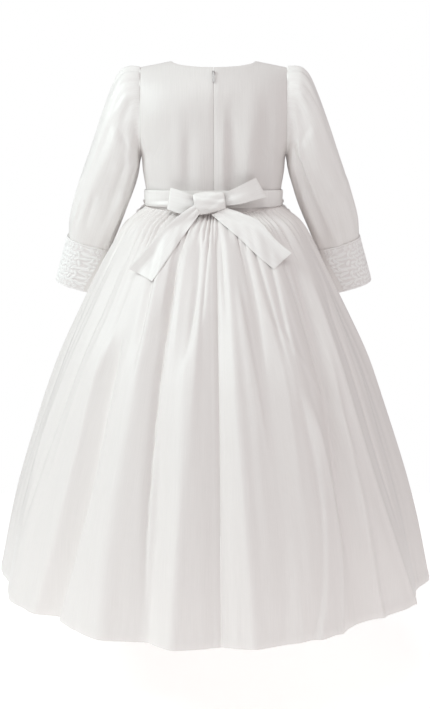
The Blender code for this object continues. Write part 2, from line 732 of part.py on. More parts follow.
def skirt_top_depth(x, z):
    """How far out the back of the skirt reaches at a point seen from the back, over its folds and gathers."""
    for k in range(61):
        place = k / 150
        reach = max(read(SKIRT, "half_width", place), abs(x) + MM)
        level = skirt_point(degrees(asin(x / reach)), place)
        if level.z <= z + 6 * MM:
            crest = CREST_ABOVE_SKIRT * smoothstep(place / 0.05)
            return -level.y + crest * (1 - 0.5 * smoothstep(place / 0.2))
    return 0.0


def make_tail(name, rows, material):
    """A loose end of the sash, lying over the top of the skirt."""
    grid = []
    for r in range(TAIL_ROWS):
        place = r / (TAIL_ROWS - 1)
        line = []
        for c in range(TAIL_COLUMNS):
            across = c / (TAIL_COLUMNS - 1)
            x, z, out = ribbon_edge(rows, across, place)
            ripple = 2.0 * MM * (1 + sin(2 * pi * across * 1.2 + 5 * place)) * smoothstep(place / 0.4)
            depth = max(out, (skirt_top_depth(x, z) + TAIL_CLEARANCE) * (1 if place > 0 else 0))
            line.append(Vector((x, -depth - ripple, z)))
        grid.append(line)

    def core(r):
        return Vector((0.0, 0.0, grid[r][0].z))

    return cloth(name, grid, RIBBON_WALL, material, core)


def loop_fullness(trip, place):
    """How far the ribbon stands off its first layer: nothing going out, all of it coming back."""
    return LOOP_FULLNESS * smoothstep((trip - 0.36) / 0.28) * (0.60 + 0.40 * sin(pi * place))


def make_loop(name, rows, material):
    """A bow loop: the ribbon goes out along the sash, turns round at its tip and comes back over itself."""
    grid = []
    for r in range(LOOP_ROWS + 1):
        trip = r / LOOP_ROWS
        place = sin(pi * trip) ** 0.9 if 0 < trip < 1 else 0.0
        line = []
        for c in range(LOOP_COLUMNS):
            across = c / (LOOP_COLUMNS - 1)
            x, z, out = ribbon_edge(rows, across, place)
            pinch = LOOP_PINCH * cos(3 * pi * across) * (1 - place) ** 2 * smoothstep((trip - 0.5) / 0.3)
            line.append(Vector((x, -(out + loop_fullness(trip, place) + pinch), z)))
        grid.append(line)
    middle_x, middle_z, middle_out = ribbon_edge(rows, 0.5, 0.55)

    def core(r):
        return Vector((middle_x, -(middle_out + LOOP_FULLNESS * 0.4), middle_z))

    return cloth(name, grid, RIBBON_WALL, material, core)


KNOT_CENTRE = Vector((-0.0075, -0.1050, -0.2750))
KNOT_HALF_WIDTH = 30.0 * MM
KNOT_HALF_HEIGHT = 19.5 * MM
KNOT_HALF_DEPTH = 12.0 * MM
KNOT_TILT = 8
KNOT_RINGS = 8
KNOT_COLUMNS = 20


def make_knot(material):
    """The knot's wrapped layers, as one rounded solid with the creases of its wrap, seated on the sash."""
    mesh = bmesh.new()
    tilt = Matrix.Rotation(radians(-KNOT_TILT), 3, "Y")
    lines = []
    for r in range(KNOT_RINGS + 1):
        along = -1 + 2 * r / KNOT_RINGS
        swell = 0.75 + 0.25 * sqrt(1 - along ** 4)
        line = []
        for c in range(KNOT_COLUMNS):
            angle = 2 * pi * c / KNOT_COLUMNS
            crease = 1 + 0.06 * cos(5 * angle + 2.5 * along)
            y = KNOT_HALF_DEPTH * swell * crease * cos(angle)
            z = KNOT_HALF_HEIGHT * swell * crease * sin(angle) * (1 - 0.12 * along)
            point = KNOT_CENTRE + tilt @ Vector((KNOT_HALF_WIDTH * along, y, z))
            point.y = min(point.y, -sash_depth(point.x, point.z) - SEAM_GAP)
            line.append(mesh.verts.new(point))
        lines.append(line)
    for r in range(KNOT_RINGS):
        for c in range(KNOT_COLUMNS):
            d = (c + 1) % KNOT_COLUMNS
            mesh.faces.new((lines[r][c], lines[r][d], lines[r + 1][d], lines[r + 1][c]))
    for line in (lines[0], lines[-1]):
        mesh.faces.new(line)
    return finish("bow_knot", mesh, material)


# Zip


ZIP_TOP = -26 * MM
ZIP_TAPE_HALF_WIDTH = 9 * MM
ZIP_TAPE_WALL = 1.0 * MM
SLIDER_HALF_WIDTH = 2.6 * MM
SLIDER_HEIGHT = 9 * MM
SLIDER_THICKNESS = 1.8 * MM
PIN_RADIUS = 0.5 * MM
PIN_OUT = 1.9 * MM
BARREL_RADIUS = 1.25 * MM
BARREL_BORE = 0.7 * MM
BARREL_HALF_LENGTH = 1.3 * MM
EAR_INSIDE = 1.6 * MM
EAR_OUTSIDE = 2.4 * MM
EAR_HALF_HEIGHT = 1.0 * MM
EAR_REACH = 0.8 * MM
PULL_LENGTH = 22 * MM
PULL_HALF_WIDTH = 2.4 * MM
PULL_THICKNESS = 0.9 * MM
PULL_LEAN = 9


def centre_back(z, out):
    """A point of the centre back line, moved out of the bodice, and the bodice's two directions there."""
    above, below = z + 2 * MM, z - 2 * MM
    slope = torso_depth(0, above, False) - torso_depth(0, below, False)
    down = Vector((0, slope, below - above)).normalized()
    outward = Vector((0, down.z, -down.y))
    return Vector((0, -torso_depth(0, z, False), z)) + outward * out, outward, down


def make_zip_tape(material):
    """The woven tape sewn behind the slit at centre back, made from the back's own points."""
    first = bodice_shares()[1]
    surface = []
    for r in range(1, BODICE_ROWS):
        middle = bodice_point(0.0, 1 - r / BODICE_ROWS, False)
        side = bodice_point(first, 1 - r / BODICE_ROWS, False)
        reach = (side - middle) * ZIP_TAPE_HALF_WIDTH / side.x
        surface.append([middle + Vector((-reach.x, reach.y, reach.z)), middle, middle + reach])

    def core(r):
        return Vector((0.0, 0.0, surface[r][0].z))

    normals = grid_normals(surface, False, core)
    inside = BODICE_WALL + 1.5 * SEAM_GAP
    grid = [[p - n * inside for p, n in zip(*pair)] for pair in zip(surface, normals)]
    return cloth("zip_tape", grid, ZIP_TAPE_WALL, material, core)


def box(mesh, low, high):
    corners = product((low[0], high[0]), (low[1], high[1]), (low[2], high[2]))
    made = [mesh.verts.new(corner) for corner in corners]
    for face in ((0, 1, 3, 2), (4, 6, 7, 5), (0, 4, 5, 1), (2, 3, 7, 6), (0, 2, 6, 4), (1, 5, 7, 3)):
        mesh.faces.new([made[k] for k in face])
    return mesh


def barrel(mesh, radius, half_length, sides=16):
    """A cylinder along X at the origin."""
    turned = Matrix.Rotation(pi / 2, 4, "Y")
    bmesh.ops.create_cone(
        mesh, cap_ends=True, segments=sides, radius1=radius, radius2=radius,
        depth=2 * half_length, matrix=turned,
    )


def solid(name, build, material):
    mesh = bmesh.new()
    build(mesh)
    return finish(name, mesh, material, sharp=35)


def joined(base, tool, operation):
    step = base.modifiers.new(operation.lower(), "BOOLEAN")
    step.object = tool
    step.operation = operation
    step.solver = "EXACT"
    tool.hide_render = True
    tool.display_type = "WIRE"


def zip_frame():
    """The place of the zip's pull: its origin on the hinge, Y into the dress's back, Z up along the slit."""
    pin, outward, down = centre_back(ZIP_TOP, SLIDER_THICKNESS + SEAM_GAP + PIN_OUT)
    up = -down
    inward = -outward
    across = inward.cross(up)
    turn = Matrix((across, inward, up)).transposed().to_4x4()
    return Matrix.Translation(pin) @ turn


def make_slider(metal):
    """The zip's slider: a body over the slit, and two ears that hold the pull's pin."""
    place = zip_frame()
    back = PIN_OUT + SLIDER_THICKNESS

    def body(mesh):
        low = (-SLIDER_HALF_WIDTH, PIN_OUT, -SLIDER_HEIGHT * 0.55)
        box(mesh, low, (SLIDER_HALF_WIDTH, back, SLIDER_HEIGHT * 0.35))

    slider = solid("zip_slider", body, metal)
    for side in (-1, 1):
        left, right = sorted((side * EAR_INSIDE, side * EAR_OUTSIDE))

        def ear(mesh, left=left, right=right):
            low = (left, -EAR_REACH, -EAR_HALF_HEIGHT)
            box(mesh, low, (right, PIN_OUT + SEAM_GAP, EAR_HALF_HEIGHT))

        joined(slider, placed(solid(f"ear_tool_{side + 1}", ear, metal), place), "UNION")

    def pin(mesh):
        barrel(mesh, PIN_RADIUS, (EAR_INSIDE + EAR_OUTSIDE) / 2 + 0.2 * MM, 12)

    joined(slider, placed(solid("pin_tool", pin, metal), place), "UNION")
    return placed(slider, place)


def placed(thing, matrix):
    thing.matrix_world = matrix
    return thing


def make_pull(metal):
    """The zip's pull tab, hung on the slider's pin by a small barrel, its tip leaning on the cloth."""
    place = zip_frame() @ Matrix.Rotation(radians(PULL_LEAN), 4, "X")

    def tab(mesh):
        top, low, half_thick = BARREL_HALF_LENGTH, PULL_HALF_WIDTH, PULL_THICKNESS / 2
        outline = [(-top, -0.8 * MM), (-top, -4 * MM), (-low, -9 * MM), (-low, -PULL_LENGTH + 2 * MM)]
        outline += [(-low * 0.6, -PULL_LENGTH + 0.4 * MM), (0.0, -PULL_LENGTH)]
        outline += [(-x, z) for x, z in reversed(outline[:-1])]
        near = [mesh.verts.new((x, -half_thick, z)) for x, z in outline]
        far = [mesh.verts.new((x, half_thick, z)) for x, z in outline]
        mesh.faces.new(near)
        mesh.faces.new(far)
        for k in range(len(outline)):
            n = (k + 1) % len(outline)
            mesh.faces.new((near[k], near[n], far[n], far[k]))

    pull = solid("zip_pull", tab, metal)
    collar = solid("collar_tool", lambda mesh: barrel(mesh, BARREL_RADIUS, BARREL_HALF_LENGTH), metal)
    bore = solid("bore_tool", lambda mesh: barrel(mesh, BARREL_BORE, 3 * BARREL_HALF_LENGTH), metal)
    joined(pull, placed(collar, place), "UNION")
    joined(pull, placed(bore, place), "DIFFERENCE")
    return placed(pull, place)


# Flower trim at the sides of the waist


FLOWERS_START = 94
FLOWERS_END = 112
FLOWERS_TOP = 12 * MM
FLOWERS_PLACE_END = 0.032
FlowerSpot = namedtuple("FlowerSpot", "across down")
FLOWER_SPOTS = (
    FlowerSpot(0.10, 0.14),
    FlowerSpot(0.14, 0.50),
    FlowerSpot(0.12, 0.86),
    FlowerSpot(0.40, 0.30),
    FlowerSpot(0.44, 0.72),
    FlowerSpot(0.70, 0.50),
    FlowerSpot(0.90, 0.22),
)
TRIM_ON_SASH = 0.35
TRIM_OVER_SASH = 0.9 * MM
TRIM_OVER_SKIRT = 7.0 * MM
TRIM_FOOT_RISE = 4.0 * MM
FLOWER_RADIUS = 0.17
FLOWER_HEIGHT = 3.4 * MM
FLOWERS_COLUMNS = 11
FLOWERS_ROWS = 11


def flower_relief(across, down):
    """Raised flower heads with a dimple in the middle, over the trim's ground."""
    best = 0.0
    for spot in FLOWER_SPOTS:
        dx, dy = across - spot.across, down - spot.down
        distance = sqrt(dx * dx + dy * dy)
        petals = 1 + 0.16 * cos(5 * atan2(dy, dx))
        head = bump(distance, FLOWER_RADIUS * petals) ** 0.6 if distance < FLOWER_RADIUS * petals else 0.0
        best = max(best, head - 0.35 * bump(distance, 0.06))
    return max(best, 0.0)


def trim_point(turn, down, lift):
    """A point over the sash's lower edge and the top of the skirt, from the top of the trim to its foot."""
    sash_lift = SASH_CLEARANCE + RIBBON_WALL + TRIM_OVER_SASH
    seam_z = waist_z(turn) + SASH_ABOVE_SEAM
    if down < TRIM_ON_SASH:
        z = mix(waist_z(turn) + FLOWERS_TOP, seam_z, down / TRIM_ON_SASH)
        return worn_surface(turn, z, sash_lift + lift)
    angle = radians(turn)
    foot = skirt_point(turn, FLOWERS_PLACE_END)
    radius = Vector((foot.x, foot.y, 0)).length + TRIM_OVER_SKIRT
    end = Vector((radius * sin(angle), -radius * cos(angle), foot.z + TRIM_FOOT_RISE))
    start = worn_surface(turn, seam_z, sash_lift)
    outward = (end - start).cross(Vector((cos(angle), sin(angle), 0))).normalized()
    if outward.z < 0:
        outward = -outward
    return start.lerp(end, (down - TRIM_ON_SASH) / (1 - TRIM_ON_SASH)) + outward * lift


def make_flowers(side, name, material):
    outer, inner = [], []
    for r in range(FLOWERS_ROWS):
        down = r / (FLOWERS_ROWS - 1)
        outer_line, inner_line = [], []
        for c in range(FLOWERS_COLUMNS):
            across = c / (FLOWERS_COLUMNS - 1)
            turn = mix(FLOWERS_START, FLOWERS_END, across)
            relief = FLOWER_HEIGHT * flower_relief(across, down)
            outer_line.append(trim_point(turn, down, LACE_GROUND + relief))
            inner_line.append(trim_point(turn, down, 0.0))
        outer.append(outer_line)
        inner.append(inner_line)
    return finish(name, wall_mesh(mirrored(outer, side), mirrored(inner, side), False), material)


def main():
    for thing in list(bpy.data.objects):
        bpy.data.objects.remove(thing)
    ivory = satin("ivory_satin", IVORY)
    lace = satin("white_lace", LACE_WHITE, roughness=0.7)
    tape = satin("zip_tape_white", IVORY, roughness=0.8)
    metal = satin("zip_metal", ZIP_GREY, roughness=0.35, metallic=0.8)
    make_bodice(ivory)
    make_skirt(ivory)
    make_sleeves(ivory, lace)
    make_sash(ivory)
    make_loop("bow_loop_left", LOOP_LEFT, ivory)
    make_loop("bow_loop_right", LOOP_RIGHT, ivory)
    make_tail("bow_tail_left", TAIL_LEFT, ivory)
    make_tail("bow_tail_right", TAIL_RIGHT, ivory)
    make_knot(ivory)
    make_zip_tape(tape)
    make_slider(metal)
    make_pull(metal)
    for side, word in ((-1, "left"), (1, "right")):
        make_flowers(side, f"waist_flowers_{word}", lace)


main()
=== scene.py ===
"""A girl's long-sleeved satin occasion dress: its cloth, lace, bow and zip as they look when it is worn.

Metres, +Z up, in the model's own frame: the back, with its zip and bow, faces -Y, and +X is the wearer's
right. Each cloth piece is a thin shell on the form of its solid, with its folds, gathers and creases placed
on it.
"""

import json
from collections import namedtuple
from math import pi, radians

import bpy
import numpy as np
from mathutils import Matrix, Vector

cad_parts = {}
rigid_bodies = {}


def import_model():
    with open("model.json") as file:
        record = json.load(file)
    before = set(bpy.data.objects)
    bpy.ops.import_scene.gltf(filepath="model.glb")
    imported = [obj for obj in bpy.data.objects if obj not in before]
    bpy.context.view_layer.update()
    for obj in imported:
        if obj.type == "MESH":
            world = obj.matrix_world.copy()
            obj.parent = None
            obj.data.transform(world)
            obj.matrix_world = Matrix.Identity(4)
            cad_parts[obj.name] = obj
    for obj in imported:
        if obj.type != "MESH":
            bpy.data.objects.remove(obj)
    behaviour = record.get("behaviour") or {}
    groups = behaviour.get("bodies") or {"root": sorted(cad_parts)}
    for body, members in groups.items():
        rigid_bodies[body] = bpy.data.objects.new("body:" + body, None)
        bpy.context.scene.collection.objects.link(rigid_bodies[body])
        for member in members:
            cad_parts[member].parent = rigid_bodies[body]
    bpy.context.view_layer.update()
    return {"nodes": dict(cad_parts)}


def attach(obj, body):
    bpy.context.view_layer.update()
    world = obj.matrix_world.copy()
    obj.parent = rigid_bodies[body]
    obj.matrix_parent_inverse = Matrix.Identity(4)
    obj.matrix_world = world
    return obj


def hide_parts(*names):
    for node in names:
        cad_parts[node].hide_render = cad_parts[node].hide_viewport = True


MM = 0.001
SEAM_GAP = 0.3 * MM
CLOTH_WALL = 1.0 * MM

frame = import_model()
for thing in bpy.data.objects:
    thing.select_set(False)


def table(kind, *rows):
    """A table given row by row: each row's values under its kind's column names."""
    return tuple(kind(*row) for row in rows)


# Shader nodes


def linear(text):
    """The linear colour of an sRGB hex value."""
    channels = [int(text[k:k + 2], 16) / 255 for k in (1, 3, 5)]
    return tuple(c / 12.92 if c <= 0.04045 else ((c + 0.055) / 1.055) ** 2.4 for c in channels) + (1.0,)


def fill(tree, node, inputs):
    """Sets a node's inputs, and links those whose value is another node's output."""
    for name, value in inputs.items():
        if isinstance(value, bpy.types.NodeSocket):
            tree.links.new(value, node.inputs[name])
        else:
            node.inputs[name].default_value = value


def add(tree, kind, output, inputs=(), **settings):
    """Adds a node with its settings and inputs, and gives one of its outputs."""
    made = tree.nodes.new(kind)
    for name, value in settings.items():
        setattr(made, name, value)
    fill(tree, made, dict(inputs))
    return made.outputs[output]


def new_material(name):
    """An empty material, its tree and its Principled shader."""
    made = bpy.data.materials.new(name)
    made.use_nodes = True
    return made, made.node_tree, made.node_tree.nodes["Principled BSDF"]


def ramp(tree, factor, stops):
    """A colour ramp between hex colours."""
    colour = add(tree, "ShaderNodeValToRGB", "Color", {"Fac": factor})
    elements = colour.node.color_ramp.elements
    while len(elements) < len(stops):
        elements.new(0.5)
    for element, (place, text) in zip(elements, stops):
        element.position = place
        element.color = linear(text)
    return colour


def threads(tree, weave, scale, detail=1.0, slant=0.0):
    """Threads drawn as a noise in the weave, stretched by a scale across it and along it."""
    inputs = {"Vector": weave, "Rotation": (0.0, 0.0, slant), "Scale": scale}
    placed = add(tree, "ShaderNodeMapping", "Vector", inputs)
    return add(tree, "ShaderNodeTexNoise", "Fac", {"Vector": placed, "Scale": 1.0, "Detail": detail})


def bumped(tree, height, strength, distance, under=None):
    """A surface raised by a height, on top of the bumps under it."""
    inputs = {"Height": height, "Strength": strength, "Distance": distance}
    if under is not None:
        inputs["Normal"] = under
    return add(tree, "ShaderNodeBump", "Normal", inputs)


# Camera, lights and floor

IMAGE_HEIGHT = 709
FOCAL_PIXELS = 1496
SENSOR = 36
CAMERA_PLACE = (0.003, -3.0, -0.182)
CAMERA_TILT = 7.63
ROOM_LIGHT = 0.45
ROOM_TINT = (1.0, 0.970, 0.972, 1.0)
WHITE = (1.0, 1.0, 1.0, 1.0)
FLOOR_Z = -1.24
FLOOR_SIZE = 3.2
FLOOR_GLOW = 0.53

Lamp = namedtuple("Lamp", "name place aim size power colour")
LAMPS = table(
    Lamp,
    ("left_softbox", (-2.3, -1.0, 1.2), (0.0, 0.0, -0.40), 1.3, 36, (0.86, 1.0, 0.99)),
    ("front_softbox", (-0.3, -2.2, 2.2), (0.0, 0.0, -0.40), 1.8, 20, (0.97, 0.985, 0.995)),
    ("top_softbox", (-0.3, -1.1, 1.8), (0.0, -0.1, -0.40), 1.4, 5, (0.92, 1.0, 0.98)),
    ("right_softbox", (2.4, -0.6, 0.6), (0.0, 0.0, -0.40), 1.6, 6, (1.0, 0.92, 0.91)),
)


def make_camera():
    lens = bpy.data.cameras.new("camera")
    lens.sensor_width = SENSOR
    lens.lens = SENSOR * FOCAL_PIXELS / IMAGE_HEIGHT
    camera = bpy.data.objects.new("camera", lens)
    camera.location = CAMERA_PLACE
    camera.rotation_euler = (radians(90 - CAMERA_TILT), 0, 0)
    bpy.context.scene.collection.objects.link(camera)
    bpy.context.scene.camera = camera


def make_lamps():
    for lamp in LAMPS:
        light = bpy.data.lights.new(lamp.name, "AREA")
        light.size = lamp.size
        light.energy = lamp.power
        light.color = lamp.colour
        holder = bpy.data.objects.new(lamp.name, light)
        holder.location = lamp.place
        way = Vector(lamp.aim) - Vector(lamp.place)
        holder.rotation_euler = way.to_track_quat("-Z", "Y").to_euler()
        bpy.context.scene.collection.objects.link(holder)


def make_room():
    """Pure white paper to the camera. It lights the dress at less than half of that, and a little warmer."""
    room = bpy.data.worlds.new("white_room")
    room.use_nodes = True
    tree = room.node_tree
    seen = add(tree, "ShaderNodeLightPath", "Is Camera Ray")
    inputs = {"Value": seen, "To Min": ROOM_LIGHT, "To Max": 1.0}
    strength = add(tree, "ShaderNodeMapRange", "Result", inputs)
    inputs = {"Fac": seen, "Color1": ROOM_TINT, "Color2": WHITE}
    tint = add(tree, "ShaderNodeMixRGB", "Color", inputs)
    fill(tree, tree.nodes["Background"], {"Strength": strength, "Color": tint})
    bpy.context.scene.world = room
    bpy.context.scene.view_settings.view_transform = "Standard"


def make_floor():
    """A plain pale floor, a hand's length under the hem."""
    bpy.ops.mesh.primitive_plane_add(size=FLOOR_SIZE, location=(0, 0, FLOOR_Z))
    floor = bpy.context.object
    floor.name = "floor"
    made, tree, shader = new_material("pale_floor")
    fill(tree, shader, {
        "Base Color": linear("#F7F6F5"),
        "Emission Color": WHITE,
        "Emission Strength": FLOOR_GLOW,
        "Roughness": 0.9,
    })
    floor.data.materials.append(made)


# Materials


def satin_material(name, tones):
    """Duchess satin, woven from bright polyester: a close sheen that runs with the warp, faint slubs in it,
    and a soft crumple where it has been packed. The tones give its base colour; a lighter pair of tones
    paints light into a copy, and a darker pair paints shade into another."""
    made, tree, shader = new_material(name)
    weave = add(tree, "ShaderNodeUVMap", "UV", uv_map="weave")
    place = add(tree, "ShaderNodeTexCoord", "Object")
    # Warp slubs: 0.15 mm threads drawn as streaks about 1.2 mm wide and 60 mm long, so that they show
    slub = threads(tree, weave, (800.0, 16.0, 1.0), 2.0)
    # Weft threads: 0.2 mm apart drawn about 1 mm apart
    weft = threads(tree, weave, (40.0, 1000.0, 1.0))
    # Crumple left by packing, 30 to 60 mm across
    inputs = {"Vector": place, "Scale": 24.0, "Detail": 2.5, "Roughness": 0.45}
    crumple = add(tree, "ShaderNodeTexNoise", "Fac", inputs)
    woven = bumped(tree, weft, 0.06, 0.0003, bumped(tree, slub, 0.10, 0.0004))
    fill(tree, shader, {
        "Base Color": ramp(tree, slub, [(0.30, tones[0]), (0.70, tones[1])]),
        "Normal": bumped(tree, crumple, 0.35, 0.004, woven),
        "Tangent": add(tree, "ShaderNodeTangent", "Tangent", direction_type="UV_MAP", uv_map="weave"),
        "Roughness": 0.42,
        "Specular IOR Level": 0.40,
        "Anisotropic": 0.45,
        "Sheen Weight": 0.12,
        "Sheen Roughness": 0.35,
    })
    return made


def lace_material():
    """Guipure lace, embroidered in matt cotton on a net that is dissolved: chalky, with raised threads."""
    made, tree, shader = new_material("embroidered_cotton_lace")
    weave = add(tree, "ShaderNodeUVMap", "UV", uv_map="weave")
    height = add(tree, "ShaderNodeAttribute", "Fac", attribute_name="relief")
    # Satin-stitch threads 0.4 mm thick, drawn 0.9 mm apart and slanting
    thread = threads(tree, weave, (1100.0, 90.0, 1.0), slant=0.7)
    fill(tree, shader, {
        # The base colour is lighter where the lace stands higher and darker on its low net: painted shade in
        # the lace's hollows.
        "Base Color": ramp(tree, height, [(0.0, "#F1EDEC"), (0.35, "#F8F5F4"), (1.0, "#FDFCFB")]),
        "Normal": bumped(tree, thread, 0.5, 0.0006),
        "Roughness": 0.8,
        "Sheen Weight": 0.2,
    })
    return made


def tape_material():
    """Polyester zip tape, woven in a close herringbone: matt beside the satin."""
    made, tree, shader = new_material("woven_zip_tape")
    weave = add(tree, "ShaderNodeUVMap", "UV", uv_map="weave")
    bones = add(tree, "ShaderNodeTexWave", "Fac", {"Vector": weave, "Scale": 260.0, "Distortion": 1.5})
    fill(tree, shader, {
        "Base Color": ramp(tree, bones, [(0.0, "#CFC9C8"), (1.0, "#DDD8D6")]),
        "Normal": bumped(tree, bones, 0.4, 0.0003),
        "Roughness": 0.75,
    })
    return made


def metal_material():
    """Die-cast zinc under white lacquer, grey with a fine casting grain: small soft highlights."""
    made, tree, shader = new_material("lacquered_zinc")
    place = add(tree, "ShaderNodeTexCoord", "Object")
    # Casting grain about 0.6 mm across
    grain = add(tree, "ShaderNodeTexNoise", "Fac", {"Vector": place, "Scale": 1600.0, "Detail": 2.0})
    fill(tree, shader, {
        "Base Color": ramp(tree, grain, [(0.35, "#B4B0AF"), (0.65, "#C4C1C0")]),
        "Normal": bumped(tree, grain, 0.2, 0.0001),
        "Metallic": 0.15,
        "Roughness": 0.35,
    })
    return made


# Curves and grids


def smoothstep(t):
    t = np.clip(t, 0.0, 1.0)
    return t * t * (3 - 2 * t)


def mix(a, b, t):
    return a + (b - a) * t


def wrapped(turn):
    """A turn brought to between -180 and 180 degrees."""
    return (turn + 180) % 360 - 180


def bump(distance, width):
    """A soft ridge: 1 at its middle, 0 from its width outwards."""
    return 0.5 + 0.5 * np.cos(pi * np.minimum(np.abs(distance) / width, 1.0))


def curve(rows, column, at):
    """A table's named column, read on a smooth curve. The first column is the place."""
    places = np.array([row[0] for row in rows])
    values = np.array([getattr(row, column) for row in rows])
    last = len(rows) - 1
    before = np.maximum(np.arange(last + 1) - 1, 0)
    after = np.minimum(np.arange(last + 1) + 1, last)
    slopes = (values[after] - values[before]) / (places[after] - places[before])
    at = np.clip(at, places[0], places[-1])
    low = np.clip(np.searchsorted(places, at, side="right") - 1, 0, last - 1)
    span = places[low + 1] - places[low]
    t = (at - places[low]) / span
    return (
        values[low] * (1 + 2 * t) * (1 - t) ** 2
        + values[low + 1] * t * t * (3 - 2 * t)
        + slopes[low] * span * t * (1 - t) ** 2
        - slopes[low + 1] * span * t * t * (1 - t)
    )


def points(x, y, z):
    return np.stack(np.broadcast_arrays(x, y, z), axis=-1).astype(float)


def around(turn, radius, z):
    """Points at a radius from the upright axis, their turns counted from centre back."""
    angle = np.radians(turn)
    return points(radius * np.sin(angle), -radius * np.cos(angle), z)


def section_radius(turn, half_width, half_depth, power):
    """How far a rounded section reaches at each turn. An ellipse has power 2, and a squarer section more."""
    angle = np.radians(turn)
    section = (np.abs(np.sin(angle)) / half_width) ** power + (np.abs(np.cos(angle)) / half_depth) ** power
    return section ** (-1 / power)


def lattice(columns, rows, first=0):
    """Even steps across, from first to 1, and down, from 0 to 1, that together make a grid."""
    return np.linspace(first, 1, columns)[None, :], np.linspace(0, 1, rows)[:, None]


def unit(vectors):
    return vectors / np.maximum(np.linalg.norm(vectors, axis=-1, keepdims=True), 1e-12)


def normals_of(grid, core, closed):
    """Outward normals of a grid of points round a core."""
    if closed:
        across = np.roll(grid, -1, 1) - np.roll(grid, 1, 1)
    else:
        across = np.gradient(grid, axis=1)
    normals = unit(np.cross(across, np.gradient(grid, axis=0)))
    agree = np.sum(normals * unit(grid - core))
    return normals if agree > 0 else -normals


def kept_inside(grid, planes):
    """The points moved back to the allowed side of each plane, an outward normal and its distance."""
    for normal, distance in planes:
        over = np.maximum(grid @ np.array(normal) - distance, 0.0)
        grid = grid - over[..., None] * np.array(normal)
    return grid


def waves(across, down, seed, counts, drift=0.4):
    """Seeded soft unevenness. across runs from 0 to 1 round the piece and closes on itself."""
    draw = np.random.RandomState(seed)
    total = 0.0
    for count in counts:
        phase = draw.uniform(0, 2 * pi)
        tilt = draw.uniform(-drift, drift)
        strength = draw.uniform(0.5, 1.0)
        total = total + strength * np.sin(2 * pi * (count * across + tilt * down) + phase)
    return total / len(counts) ** 0.5


def shell(name, outer, inner, closed, material, flat, relief=None):
    """A closed shell of cloth between two grids, with its weave laid out in metres on its flat cut."""
    rows, columns = outer.shape[:2]
    count = rows * columns
    verts = np.concatenate([outer.reshape(-1, 3), inner.reshape(-1, 3)])
    ids = np.arange(count).reshape(rows, columns)
    wide = columns + 1 if closed else columns
    if closed:
        ids = np.concatenate([ids, ids[:, :1]], axis=1)
    across, down = np.meshgrid(np.linspace(0, flat[0], wide), np.linspace(0, flat[1], rows))
    laid = np.stack([across, down], axis=-1)

    def quads(values):
        corners = [values[:-1, :-1], values[:-1, 1:], values[1:, 1:], values[1:, :-1]]
        return np.stack([c.reshape(-1, *values.shape[2:]) for c in corners], axis=1)

    def rim(line, uv):
        face = np.stack([line[:-1], line[1:], line[1:] + count, line[:-1] + count], axis=1)
        return face, np.stack([uv[:-1], uv[1:], uv[1:], uv[:-1]], axis=1)

    faces, uvs = [quads(ids), quads(ids)[:, ::-1] + count], [quads(laid), quads(laid)[:, ::-1]]
    edges = [(ids[0][::-1], laid[0][::-1]), (ids[-1], laid[-1])]
    if not closed:
        edges += [(ids[:, 0], laid[:, 0]), (ids[::-1, -1], laid[::-1, -1])]
    for line, uv in edges:
        face, corners = rim(line, uv)
        faces.append(face)
        uvs.append(corners)
    faces, uvs = np.concatenate(faces), np.concatenate(uvs)
    first = verts[faces[:, :3]]
    facing = np.cross(first[:, 1] - first[:, 0], first[:, 2] - first[:, 0])
    if np.sum(facing * (first[:, 0] - verts.mean(0))) < 0:
        faces, uvs = faces[:, ::-1], uvs[:, ::-1]
    data = bpy.data.meshes.new(name)
    data.vertices.add(len(verts))
    data.vertices.foreach_set("co", verts.ravel())
    data.loops.add(faces.size)
    data.loops.foreach_set("vertex_index", faces.ravel().astype(np.int32))
    data.polygons.add(len(faces))
    data.polygons.foreach_set("loop_start", np.arange(0, faces.size, 4, dtype=np.int32))
    data.update(calc_edges=True)
    data.uv_layers.new(name="weave").data.foreach_set("uv", uvs.ravel().astype(np.float32))
    if relief is not None:
        heights = np.concatenate([relief.ravel(), np.zeros(count)]).astype(np.float32)
        data.attributes.new("relief", "FLOAT", "POINT").data.foreach_set("value", heights)
    data.validate()
    data.shade_smooth()
    data.set_sharp_from_angle(angle=radians(65))
    data.materials.append(material)
    piece = bpy.data.objects.new(name, data)
    bpy.context.scene.collection.objects.link(piece)
    return piece


def cloth(name, grid, core, material, flat, closed=False, planes=(), level=(), turned=None):
    """A shell whose outside is the grid. Rows in level are thickened horizontally. turned adds a wall inside
    where the cloth is folded up on itself, as at a hem."""
    normals = normals_of(grid, core, closed)
    for row in level:
        normals[row] = unit(normals[row] * np.array((1.0, 1.0, 0.0)))
    thick = CLOTH_WALL if turned is None else CLOTH_WALL + turned[..., None]
    inner = kept_inside(grid - normals * thick, planes)
    return shell(name, kept_inside(grid, planes), inner, closed, material, flat)


def settle(piece, node):
    """Hangs a finished cloth piece on the dress's body, and hides the part of the model that it stands for.
    """
    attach(piece, "dress")
    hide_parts(node)


# Bodice

NECK_HALF_WIDTH = 82 * MM
BACK_NECK_DIP = 15 * MM
FRONT_NECK_DIP = 52 * MM
ARMHOLE_X = 143 * MM
ARMHOLE_BOTTOM = -185 * MM
SHOULDER_DROP = 12 * MM
SHOULDER_ROUNDING = 120 * MM
SQUARENESS = 2.6
WAIST_SIDE = -283 * MM
WAIST_BACK_DIP = 14 * MM
ZIP_SLIT = 0.8 * MM
# How far from the edge each runs, in millimetres: the neck's rolled edge and facing line, and the slit's
# rolled edge, seam and stitching
NECK_ROLL, NECK_FACING = 3.0, 6.0
SLIT_ROLL, SLIT_SEAM, SLIT_STITCHING = 2.6, 5.0, 9.5

